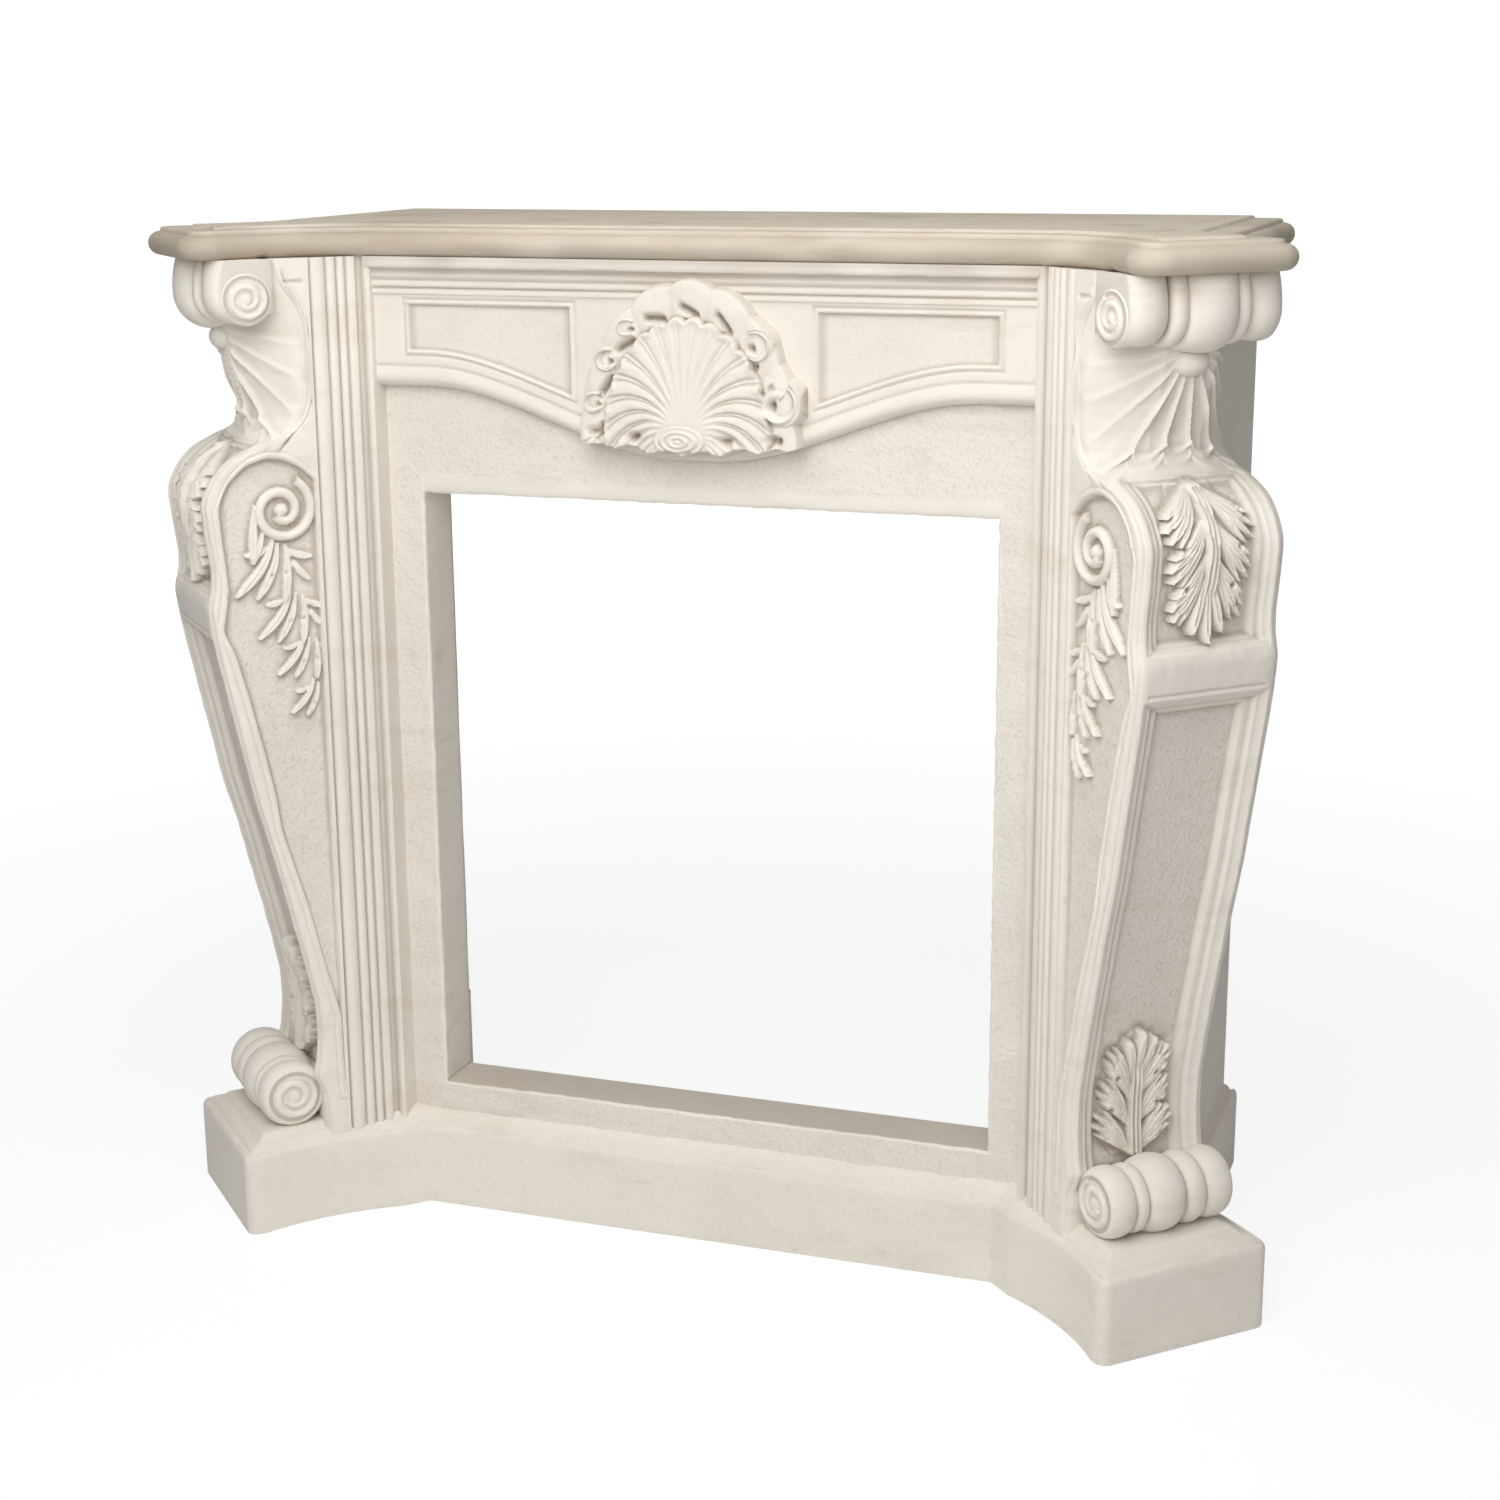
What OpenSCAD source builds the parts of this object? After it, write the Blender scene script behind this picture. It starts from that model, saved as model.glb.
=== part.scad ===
// Fireplace mantel: a cast surround with canted scroll legs, and the moulded shelf that lies on it.
// X runs along the front, the wall plane is the back of the part (+Y), and Z = 0 is the floor.

/* [Overall] */
// Height from the floor to the top of the shelf
overall_h = 1070; // [880:5:1300]
// Depth of the chamber, from the wall to the face of the inner slab
chamber_d = 362; // [290:2:440]
// Thickness of the shelf
shelf_t = 31; // [26:1:42]

/* [Fire opening] */
// Width of the fire opening
opening_w = 618; // [500:2:760]
// Height of the opening's sill above the floor
sill_h = 135; // [125:1:165]
// Plain slab left between the opening and the lowest point of the frieze
header_h = 45; // [30:1:70]
// Plain slab left beside the opening
jamb_w = 39; // [30:1:60]
// Thickness of the inner slab, which is the depth of the sill ledge
slab_t = 61; // [45:1:80]

/* [Frieze] */
// Height of the frieze at its centre, where it hangs lowest
frieze_mid_h = 199; // [185:1:240]
// Rise of the serpentine lower edge from the centre to the ends
frieze_rise = 66; // [30:1:80]
// How far the frieze stands in front of the slab
frieze_proud = 17; // [12:1:24]
// Projection of the cove under the shelf
cove_proud = 11; // [6:1:14]
// Half width of the shell
shell_w = 113; // [90:1:120]
// Height of the shell above its hinge
shell_h = 150; // [120:1:152]
// Number of flutes on the shell
shell_flutes = 13; // [9:2:17]

/* [Base] */
// Height of the base at the foot of the slab
base_h = 104; // [90:1:120]
// How far the base stands in front of the slab
base_proud = 26; // [18:1:40]
// Height of the plinth's upright faces
plinth_h = 84; // [70:1:88]
// Width of the plinth's canted face
plinth_w = 197; // [180:1:240]
// Radius of the plinth's upright edges
plinth_r = 12; // [4:1:20]

/* [Legs] */
// Width of a leg
leg_w = 160; // [140:1:176]
// Run of a leg's inner side from the plinth face to the slab's reeded strip
leg_side = 122; // [112:1:150]
// Width of the reeded strip beside a leg
reeds_w = 66; // [48:1:90]
// Number of reeds in a strip
reeds_n = 4; // [3:1:6]
// Width of the rim along each edge of a leg
rim_w = 17; // [12:1:22]
// Depth of the sunk panels
panel_d = 9; // [5:1:12]
// Radius of the scroll under the leg's foot
foot_r = 39; // [30:1:44]
// Radius of the roll at the top of the leg
capital_r = 33; // [26:1:38]
// Number of flutes in the fan on the neck
fan_flutes = 9; // [5:2:11]

/* [Returns] */
// Length of the leg's outer side before the return turns to the wall
outer_side = 135; // [120:1:160]
// Thickness of a side return
return_t = 45; // [30:1:60]
// Projection of the return's own plinth
return_proud = 15; // [8:1:22]

/* [Shelf] */
// Overhang of the shelf beyond the canted faces of the plinths
overhang = 3; // [0:1:12]
// Overhang of the shelf beyond the returns at each end
end_overhang = 34; // [24:1:44]
// Half width of the shelf's canted corners
ear_w = 88; // [80:1:100]
// Corner radius of the shelf
ear_r = 30; // [22:1:36]

/* [Hidden] */
$fn = 72;
// Solids run this far past the wall plane, or into each other, before they are cut to size.
spare = 8;
c45 = sqrt(0.5);

surround_h = overall_h - shelf_t;
slab_half = opening_w / 2 + jamb_w;
opening_top = surround_h - frieze_mid_h - header_h;
frieze_low = surround_h - frieze_mid_h;
base_y = chamber_d + base_proud;
frieze_y = chamber_d + frieze_proud;

// Centre of the plinth's canted face: the reeded strip ends at the slab's edge, in line with the base.
strip_run = leg_side + reeds_w;
leg_x = slab_half + c45 * (strip_run + leg_w / 2);
leg_y = base_y + c45 * (strip_run - leg_w / 2);
return_x = leg_x + c45 * (leg_w / 2 - outer_side);
return_y = leg_y - c45 * (outer_side + leg_w / 2);

// A point given along a leg (a, towards its outer side) and behind the plinth face (b), on the plan.
function on_leg(a, b) = [leg_x + c45 * (a - b), -leg_y + c45 * (a + b)];
function arc(c, r, from, to, n) = [for (i = [0:n]) c + r * [cos(from + (to - from) * i / n),
                                                             sin(from + (to - from) * i / n)]];
function flip(pts) = [for (i = [len(pts) - 1:-1:0]) [-pts[i][0], pts[i][1]]];
function smooth(t) = let (s = min(max(t, 0), 1)) s * s * (3 - 2 * s);
function mix(p, q, t) = p + (q - p) * t;

// ---- plans ------------------------------------------------------------------------------------------
half_plinth = plinth_w / 2;
plinth_run = (leg_y - base_y) / c45 + half_plinth;
return_meet = half_plinth - (return_x + return_proud - leg_x) / c45;
function bend(p, q, r, n) = [for (i = [0:n]) mix(mix(p, q, i / n), mix(q, r, i / n), i / n)];
// A concave run between p and r, pulled in by h towards the outer side or (s = -1) the inner side.
function hollow(p, r, h, s, n) = bend(p, mix(p, r, 0.5) + 2 * h * s * [c45, c45], r, n);
// Right half of the base's outline, drawn in by d: front, shoulder, hollow, canted plinth, return.
function base_right(d) =
    let (r = max(plinth_r - d, 1), w = half_plinth - d)
    concat([on_leg(-w, plinth_run + 0.414 * d)],
           hollow(on_leg(-w, plinth_run - 32), on_leg(-w, plinth_r + 6 + d), 10, 1, 5),
           arc(on_leg(r - w, d + r), r, -135, -45, 4),
           arc(on_leg(w - r, d + r), r, -45, 45, 4),
           [on_leg(w, return_meet + 0.414 * d), [return_x + return_proud - d, spare]]);
// Right half of the shelf's outline, drawn in by d: front, sweep, canted ear, end.
shelf_front = base_y + 9;
shelf_x = return_x + end_overhang;
function shelf_right(d) =
    let (r = max(ear_r - d, 1), a = ear_w - d, b = d - overhang,
         turn = (leg_y - shelf_front + d) / c45 + a, back = a - (shelf_x - d - leg_x) / c45)
    concat(hollow(on_leg(-a, turn), on_leg(-a, b + r + 4), 16, 1, 8),
           arc(on_leg(r - a, b + r), r, -135, -45, 6),
           arc(on_leg(a - r, b + r), r, -45, 45, 6),
           hollow(on_leg(a, b + r + 4), on_leg(a, back) + [0, 26], 5, -1, 5),
           [[shelf_x - d, spare]]);
function both(right) = concat(right, flip(right));
front_y = max([for (p = concat(base_right(0), shelf_right(0))) -p[1]]);

// ---- profile of a leg -------------------------------------------------------------------------------
// Height above the plinth as a share of the leg's own height, and distance behind the plinth face.
leg_foot = base_h - 4;
leg_h = surround_h - leg_foot;
leg_stations = [[0, 62], [0.07, 78], [0.11, 92], [0.155, 92], [0.22, 80], [0.33, 56], [0.405, 39],
    [0.49, 24], [0.56, 11], [0.60, 7], [0.628, 2], [0.65, 8], [0.70, 6], [0.745, 2], [0.765, 12],
    [0.785, 32], [0.805, 56], [0.825, 68], [0.85, 70], [0.88, 62], [0.93, 56], [1, 56]];
soften = leg_h * 0.006;
function behind(z) = let (t = (z - leg_foot) / leg_h, k = soften / leg_h)
    (lookup(t - 2 * k, leg_stations) + lookup(t - k, leg_stations) + lookup(t, leg_stations)
     + lookup(t + k, leg_stations) + lookup(t + 2 * k, leg_stations)) / 5;
function leg_z(t) = leg_foot + leg_h * t;

knee_low = leg_z(0.637);
knee_high = leg_z(0.79);
shaft_low = leg_z(0.105);
shaft_high = leg_z(0.592);
neck_low = leg_z(0.81);
neck_high = surround_h - 2 * capital_r + 2;
foot_c = [foot_r + 25, leg_foot + foot_r];
capital_c = [capital_r + 18, surround_h - capital_r];

// Sets children drawn as [behind, height] across a leg, from side a over width w.
module across(a, w) {
    translate([a, 0, 0]) rotate([90, 0, 90]) linear_extrude(w) children();
}
// Sets children drawn in a leg's own frame on both legs.
module both_legs() {
    for (m = [0, 1])
        mirror([m, 0, 0]) translate([leg_x, -leg_y, 0]) rotate([0, 0, 45]) children();
}

// Plan of a leg's block in its own frame: it stops at the slab's edge and inside the slab's thickness.
module leg_block() {
    w = leg_w / 2;
    reach = (leg_y - chamber_d + slab_t - spare) / c45;
    edge = strip_run + w;
    linear_extrude(surround_h)
        polygon([[-w, -60], [w, -60], [w, reach - w], [(reach - edge) / 2, (reach + edge) / 2],
                 [-w, strip_run]]);
}
module leg_core() {
    rows = 44;
    intersection() {
        across(-leg_w, leg_w * 2)
            polygon(concat([for (i = [0:rows]) [behind(leg_z(i / rows)), leg_z(i / rows)]],
                           [[leg_side * 3, surround_h], [leg_side * 3, leg_foot - 12],
                            [behind(leg_foot), leg_foot - 12]]));
        leg_block();
    }
}
// Cuts a sunk panel into the front between two heights, with a narrow step inside the rim.
module front_panel(z0, z1) {
    rows = 14;
    for (s = [[0, panel_d * 0.55], [rim_w * 0.75, panel_d]])
        across(-leg_w / 2 + rim_w + s[0], leg_w - 2 * (rim_w + s[0]))
            polygon(concat(
                [for (i = [0:rows]) let (z = mix(z0 + s[0] * 0.8, z1 - s[0] * 0.8, i / rows))
                    [behind(z) + s[1], z]],
                [[-60, z1 - s[0] * 0.8], [-60, z0 + s[0] * 0.8]]));
}
// Sunk panel on a leg's side, bounded by the rim in front and the reeds behind.
function side_panel() = let (rows = 18, top = leg_z(0.735), low = leg_z(0.225), rt = leg_side - 3)
    concat([for (i = [0:rows]) let (t = i / rows, z = mix(low, top, t))
                [min(behind(z) + mix(rim_w + 9, rim_w, min(1, t * 2)), rt - 4), z]],
           [for (i = [1:5]) let (g = i * 18)
                [behind(top) + rim_w + (1 - cos(g)) * 52, top + sin(g) * 46]],
           [[rt, top + 40], [rt, low]]);
module side_panels() {
    for (a = [-leg_w / 2 - 5, leg_w / 2 - panel_d * 0.8])
        across(a, panel_d * 0.8 + 5) polygon(side_panel());
}
// Ribbon that curls into the scroll on a leg's side.
module side_scroll() {
    turns = 1.55;
    steps = 30;
    centre = [leg_side - 38, leg_z(0.731)];
    function ring(i, k) = let (g = 90 - 360 * turns * i / steps, r = mix(34, 7, i / steps) - k)
        centre + r * [cos(g), sin(g)];
    across(-leg_w / 2, panel_d)
        union() {
            polygon(concat([for (i = [0:steps]) ring(i, 0)],
                           [for (i = [steps:-1:0]) ring(i, mix(8, 5, i / steps))]));
            translate(centre) circle(7);
        }
}
// Leaves that hang below the scroll, each a pointed lobe.
module leaf_drop() {
    drops = 5;
    for (i = [0:drops - 1])
        let (z = leg_z(mix(0.69, 0.50, i / (drops - 1))), s = mix(1, 0.45, i / (drops - 1)),
             b = mix(leg_side - 45, leg_side - 22, i / (drops - 1)))
            across(-leg_w / 2, panel_d - 1)
                for (side = [-1, 1])
                    translate([b, z]) rotate(side * 26)
                        polygon([for (k = [0:11]) let (g = k * 30)
                            s * [11 * sin(g) * (1 + 0.4 * cos(g)) + side * 5, 27 * cos(g) - 20]]);
}
// One rounded lobe of a roll lying across the leg, centred at a, with its middle swollen.
module lobe(a, w, r, swell) {
    translate([a, 0, 0]) rotate([0, 90, 0]) rotate_extrude()
        polygon(concat([[0, -w / 2]],
                       [for (i = [0:6]) let (t = i / 3 - 1) [r - swell * t * t, t * w / 2]],
                       [[0, w / 2]]));
}
// Lobes share the width of a roll: a wide middle, a bead each side and an end roll each side.
module roll(r, w) {
    lobe(0, w * 0.31, r + 6, 9);
    for (s = [-1, 1]) {
        lobe(s * w * 0.205, w * 0.12, r + 1, 4);
        lobe(s * w * 0.3825, w * 0.255, r, 6);
        translate([s * w * 0.485, 0, 0]) rotate([0, 90, 0])
            cylinder(h = w * 0.05, r = r * 0.42, center = true);
    }
}
module foot() {
    translate([0, foot_c[0], foot_c[1]]) roll(foot_r - 6, leg_w + 6);
}
module capital() {
    low = neck_high - 20;
    intersection() {
        translate([0, capital_c[0], capital_c[1]]) roll(capital_r, leg_w + 8);
        translate([-leg_w, -20, low]) cube([leg_w * 2, 120, surround_h - low]);
    }
    translate([-leg_w / 2, capital_c[0] - capital_r * 0.5, capital_c[1]])
        cube([leg_w, capital_r, surround_h - capital_c[1]]);
    translate([0, behind(neck_high) + 1, neck_high - 15]) sphere(9);
}
// The fan turns back round both sides of the neck.
fan_fold = leg_w * 0.19;
fan_turn = 54;
function fan_y(x) = behind(neck_high) + max(0, abs(x) - fan_fold) * fan_turn / (leg_w / 2 - fan_fold);
module neck_cut() {
    for (m = [0, 1])
        mirror([m, 0, 0]) translate([0, 0, neck_low]) linear_extrude(neck_high - neck_low)
            polygon([[fan_fold - 5, -40], [fan_fold, fan_y(0)], [leg_w / 2 + 2, fan_y(leg_w / 2 + 2)],
                     [leg_w, fan_y(leg_w / 2 + 2)], [leg_w, -40]]);
}
// One flute of the fan: a groove with a square section that widens from r0 at p to r1 at q.
module flute(p, q, r0, r1) {
    d = q - p;
    translate(p) rotate([0, acos(d[2] / norm(d)), atan2(d[1], d[0])])
        cylinder(h = norm(d), r1 = r0, r2 = r1, $fn = 4);
}
module fan_cut() {
    top = neck_high - 15;
    mid = fan_flutes - 4;
    r = 36 / mid;
    for (i = [0:mid - 1])
        let (k = i - (mid - 1) / 2, x = 84 * tan(k * 46 / max(mid - 1, 1)), z = neck_low + 16 - abs(k) * 3,
             c = [0, behind(top) - 1, top], e = [x, behind(z) - 2, z])
            flute(mix(c, e, 0.3), e, 1.5, r);
    for (m = [-1, 1])
        for (k = [0, 1])
            let (x0 = fan_fold + 3 + k * 6, x1 = fan_fold + 20 + k * 19, z0 = top - 8 + k * 2,
                 z1 = neck_low + 10 + k * 13)
                flute([m * x0, fan_y(x0) - 1, z0], [m * x1, fan_y(x1) - 1, z1], 1.5, r);
}
// A pointed leaf with lobed edges in two levels, its blade and its midrib, on the sunk front of a leg.
module leaf(low, high, half_w, tip) {
    rows = 24;
    lobes = 3.5;
    function share(s) = tip > 0 ? 1 - s : s;
    function half(s) = let (u = share(s))
        max(5, half_w * pow(sin(180 * pow(u, 0.75)), 0.7) * (1 + 0.2 * cos(360 * lobes * u)));
    for (level = [[1, panel_d * 0.35], [0.2, 0]])
        intersection() {
            translate([0, 120, 0]) rotate([90, 0, 0]) linear_extrude(130)
                polygon(concat([for (i = [0:rows]) [level[0] * half(i / rows), mix(low, high, i / rows)]],
                               [for (i = [rows:-1:0])
                                   [-level[0] * half(i / rows), mix(low, high, i / rows)]]));
            across(-leg_w / 2, leg_w)
                polygon(concat([for (i = [0:rows]) let (z = mix(low - 2, high + 2, i / rows))
                                   [behind(z) + level[1], z]],
                               [for (i = [rows:-1:0]) let (z = mix(low - 2, high + 2, i / rows))
                                   [behind(z) + panel_d + 6, z]]));
        }
}
module leg() {
    difference() {
        leg_core();
        reeds_cut();
        front_panel(shaft_low, shaft_high);
        front_panel(knee_low, knee_high);
        side_panels();
        neck_cut();
        fan_cut();
    }
    side_scroll();
    leaf_drop();
    foot();
    capital();
    leaf(knee_low + 4, knee_high + 3, leg_w * 0.26, 0);
    leaf(leg_z(0.085), leg_z(0.215), leg_w * 0.26, 1);
}
// Reeds fill a strip sunk in the leg's inner side: shares of the strip's width, widest beside the leg.
module reeds_cut() {
    translate([-leg_w / 2 - 5, leg_side + 3, base_h - 14]) cube([9, reeds_w - 6, surround_h]);
}
module reeds() {
    gap = 2;
    total = reeds_n * (reeds_n + 3) / 2;
    run = reeds_w - 8;
    for (i = [0:reeds_n - 1])
        let (share = (reeds_n - i + 1) / total, done = (i * (2 * reeds_n - i + 3) / 2) / total,
             r = (run * share - gap) / 2, y = leg_side + 4 + run * (done + share / 2))
            translate([-leg_w / 2 + 3.9, y, base_h - 16])
                intersection() {
                    cylinder(h = surround_h - base_h + 16, r = r);
                    translate([-3.9, -r - 1, 0]) cube([8, 2 * r + 2, surround_h]);
                }
}
module legs() {
    both_legs() {
        leg();
        reeds();
    }
}

// ---- slab, frieze and returns -----------------------------------------------------------------------
module slab() {
    difference() {
        translate([-return_x + 1, -chamber_d, 0]) cube([2 * return_x - 2, slab_t + spare, surround_h]);
        translate([-opening_w / 2, -chamber_d - 50, sill_h])
            cube([opening_w, slab_t + 100, opening_top - sill_h]);
    }
}
function frieze_edge(x) = frieze_low + frieze_rise * smooth((abs(x) - 20) / (slab_half - 78));
// Sets children drawn as [x, height] in front of the slab, reaching out to y = -front.
module facing(back, front) {
    translate([0, -back, 0]) rotate([90, 0, 0]) linear_extrude(front - back) children();
}
module frieze_sheet(margin, ends, top) {
    steps = 40;
    polygon(concat([for (i = [0:steps]) let (x = mix(-ends, ends, i / steps)) [x, frieze_edge(x) + margin]],
                   [[ends, top], [-ends, top]]));
}
module frieze() {
    panel_top = surround_h - 42;
    panel_in = shell_w + 14;
    panel_out = slab_half - 33;
    steps = 12;
    difference() {
        facing(chamber_d - 2, chamber_d + frieze_proud) frieze_sheet(0, slab_half + 2, surround_h);
        for (m = [-1, 1])
            facing(chamber_d + frieze_proud - 4, chamber_d + frieze_proud + 5)
                polygon(concat(
                    [for (i = [0:steps]) let (x = mix(panel_in, panel_out, i / steps))
                        [m * x, frieze_edge(x) + 33]],
                    [[m * panel_out, panel_top], [m * panel_in, panel_top]]));
    }
    face = chamber_d + frieze_proud;
    cove = [[-2, -38], [2, -38], [3, -33], [1, -31], [1, -25], [3, -23], [5, -17], [cove_proud - 2, -12],
            [cove_proud, -11], [cove_proud, 0], [-2, 0]];
    translate([-slab_half - 2, 0, surround_h]) rotate([90, 0, 90]) linear_extrude(2 * slab_half + 4)
        polygon([for (p = cove) [-face - p[0], p[1]]]);
}
// The shell: flutes fan out from the hinge to a scalloped rim, with a ruffle behind the rim.
module shell() {
    face = chamber_d + frieze_proud;
    hinge = [0, frieze_low + 24];
    cols = shell_flutes * 6;
    spread = 176;
    // Share of the radius, projection from the frieze, and depth of the fluting, from the hinge outwards.
    rows = [[0.14, -4, 0], [0.14, 34, 0.5], [0.36, 36, 2], [0.62, 34, 3.4], [0.84, 26, 4], [0.88, 19, 2],
            [0.94, 24, 3], [1, 15, 2], [1, -4, 0]];
    n = cols + 3;
    m = len(rows) - 1;
    function out(i, j) = let (g = mix(90 + spread / 2, 90 - spread / 2, min(max(j - 1, 0), cols) / cols),
                              wave = cos(360 * shell_flutes * (min(max(j - 1, 0), cols) / cols) + 180),
                              k = rows[i][0] * (1 + (i > 2 ? 0.018 : 0) * wave),
                              edge = j == 0 || j == n - 1)
        [k * shell_w * cos(g),
         -face - (edge ? -4 : rows[i][1] + rows[i][2] * wave),
         hinge[1] + k * shell_h * sin(g)];
    polyhedron(
        points = [for (i = [0:m]) for (j = [0:n - 1]) out(i, j)],
        faces = concat(
            [for (i = [1:m - 2]) for (j = [0:n - 2]) let (a = i * n + j, b = a + n)
                for (f = [[a, b, b + 1], [a, b + 1, a + 1]]) f],
            [for (i = [0, m - 1]) for (j = [1:n - 3]) let (a = i * n + j, b = a + n)
                for (f = [[a, b, b + 1], [a, b + 1, a + 1]]) f],
            [[n, 1, n + 1], [n - 2, 2 * n - 1, 2 * n - 2],
             [(m - 1) * n, m * n + 1, (m - 1) * n + 1], [m * n + n - 2, m * n - 1, m * n - 2]],
            [concat([for (j = [1:n - 2]) j], [for (i = [1:m - 1]) i * n + n - 1],
                    [for (j = [n - 2:-1:1]) m * n + j], [for (i = [m - 1:-1:1]) i * n])]));
    translate([-18, -face - 24, hinge[1]]) {
        rotate([0, 90, 0]) cylinder(h = 36, r = 17);
        sphere(17);
        translate([36, 0, 0]) sphere(17);
    }
    translate([-22, -face - 24, hinge[1] - 12]) cube([44, 26, 20]);
}
module base() {
    for (r = [[0, plinth_h], [2, plinth_h + 5], [5, plinth_h + 9], [10, base_h - 8], [14, base_h - 5],
              [base_proud - 4, base_h - 3], [base_proud, base_h]])
        linear_extrude(r[1]) polygon(both(base_right(r[0])));
}
module returns() {
    for (m = [0, 1])
        mirror([m, 0, 0]) translate([return_x - return_t - spare, -return_y - 20, 0])
            cube([return_t + spare, return_y + 20 + 2 * spare, surround_h]);
}
// The hollow behind the slab, and all that lies beyond the wall plane.
module chamber() {
    translate([return_t - return_x, slab_t - chamber_d, -5])
        cube([2 * (return_x - return_t), chamber_d + 3 * spare, overall_h]);
    translate([-2 * leg_x, 0, -10]) cube([4 * leg_x, 4 * spare, overall_h + 20]);
}

// Base, slab and returns, hollowed behind.
module body() {
    difference() {
        union() {
            base();
            slab();
            returns();
        }
        chamber();
    }
}

module surround() {
    color("ivory") translate([0, front_y / 2, 0]) {
        body();
        legs();
        frieze();
        shell();
    }
}
// The rounded edge is built up in layers, each an outline drawn in by the edge's curve at its height.
module mantel_shelf() {
    edge = 12;
    color("wheat") translate([0, front_y / 2, surround_h]) intersection() {
        union() {
            for (g = [0:15:75])
                translate([0, 0, edge * (1 - cos(g))]) linear_extrude(2 * edge * cos(g))
                    polygon(both(shelf_right(edge * (1 - sin(g)))));
            for (r = [[edge + 1, shelf_t - 3], [43, shelf_t]])
                linear_extrude(r[1]) polygon(both(shelf_right(r[0])));
        }
        translate([-2 * shelf_x, -front_y - spare, -spare])
            cube([4 * shelf_x, front_y + spare, shelf_t + 2 * spare]);
    }
}

mantel_shelf();
surround();
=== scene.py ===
"""Fireplace mantel in off-white cast stone: scroll legs, serpentine frieze with a shell, moulded shelf."""

from math import atan2, cos, pi, radians, sin, sqrt

import bpy
import numpy as np
from mathutils import Matrix, Vector


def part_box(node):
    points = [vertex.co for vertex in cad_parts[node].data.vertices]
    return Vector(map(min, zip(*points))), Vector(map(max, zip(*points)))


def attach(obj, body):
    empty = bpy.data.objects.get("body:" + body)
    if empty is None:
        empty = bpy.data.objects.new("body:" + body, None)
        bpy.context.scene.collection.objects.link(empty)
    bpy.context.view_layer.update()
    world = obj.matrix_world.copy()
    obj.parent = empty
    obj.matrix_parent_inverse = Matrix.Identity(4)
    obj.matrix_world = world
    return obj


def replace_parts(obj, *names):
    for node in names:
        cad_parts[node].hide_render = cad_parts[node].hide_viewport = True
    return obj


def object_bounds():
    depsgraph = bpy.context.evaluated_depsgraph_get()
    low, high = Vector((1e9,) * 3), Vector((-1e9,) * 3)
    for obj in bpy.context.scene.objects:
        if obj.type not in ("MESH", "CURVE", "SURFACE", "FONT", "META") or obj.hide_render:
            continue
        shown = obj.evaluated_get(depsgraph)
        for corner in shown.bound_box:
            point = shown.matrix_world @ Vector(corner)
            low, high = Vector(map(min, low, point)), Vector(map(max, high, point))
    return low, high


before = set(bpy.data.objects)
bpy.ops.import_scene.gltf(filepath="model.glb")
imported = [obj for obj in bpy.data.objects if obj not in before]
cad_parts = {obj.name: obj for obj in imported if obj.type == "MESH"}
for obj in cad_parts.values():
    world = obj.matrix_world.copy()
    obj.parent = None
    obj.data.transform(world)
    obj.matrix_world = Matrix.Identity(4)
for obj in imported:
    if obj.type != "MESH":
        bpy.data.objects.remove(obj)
CAD_BOX = [[float(c) for c in corner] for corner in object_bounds()]

bl_info = {
    "name": "Cast stone mantel",
    "version": (1, 0, 0),
    "blender": (4, 5, 0),
    "location": "3D View > Sidebar > Mantel",
    "description": "Builds a carved cast-stone fireplace mantel on its packed frame",
    "category": "Add Mesh",
}

MM = 0.001
C45 = sqrt(0.5)
MITRE = 0.414  # tangent of half of 45 degrees, for a mitred corner of the plan
WALL = CAD_BOX[1][1] / MM
SHELF_TOP = CAD_BOX[1][2] / MM
SURROUND_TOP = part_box("surround")[1][2] / MM
BEHIND = 0.8  # how far hidden faces stand back from the base's inner faces, so that none coincide
FRIEZE_H = 199  # from the lowest point of the frieze's edge to the shelf
LEG_TRIANGLES = 190000  # a leg's limit, under the 200,000 that a piece may have


# ---- sizes and colours ------------------------------------------------------------------------------
def length(name, text, default):
    """A size property in metres."""
    return bpy.props.FloatProperty(
        name=name, description=text, default=default, min=0.0, unit="LENGTH", precision=4)


def tint(name, text, code):
    """A colour property from an sRGB hex code."""
    return bpy.props.FloatVectorProperty(
        name=name, description=text, default=linear(code), subtype="COLOR", size=3, min=0.0, max=1.0)


def linear(code):
    """An sRGB hex code as linear red, green and blue."""
    parts = [int(code[i:i + 2], 16) / 255 for i in (1, 3, 5)]
    return tuple(c / 12.92 if c <= 0.04045 else ((c + 0.055) / 1.055) ** 2.4 for c in parts)


class MantelSizes(bpy.types.PropertyGroup):
    """Sizes of the mantel's parts."""
    chamber: length("Chamber depth", "From the wall to the face of the inner slab", 0.362)
    slab: length("Slab thickness", "Thickness of the inner slab", 0.061)
    opening_w: length("Opening width", "Width of the fire opening", 0.618)
    sill: length("Sill height", "Height of the sill above the floor", 0.135)
    lintel: length("Opening top", "Height of the opening's top edge", 0.795)
    jamb: length("Jamb width", "Plain slab beside the opening", 0.039)
    leg_w: length("Leg width", "Width of a leg across its front", 0.160)
    leg_side: length("Leg side", "Run of a leg's inner side as far as the reeds", 0.122)
    reeds: length("Reeds width", "Width of the reeded strip", 0.066)
    outer_side: length("Outer side", "Run of a leg's outer side as far as the return", 0.135)
    base_h: length("Base height", "Height of the base at the foot of the slab", 0.104)
    base_proud: length("Base projection", "How far the base stands in front of the slab", 0.026)
    plinth_w: length("Plinth width", "Width of the canted plinth face", 0.197)
    return_t: length("Return thickness", "Thickness of a side return", 0.045)
    shell_w: length("Shell half width", "Half width of the shell", 0.114)
    shell_h: length("Shell height", "Height of the shell above its hinge", 0.154)


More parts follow.
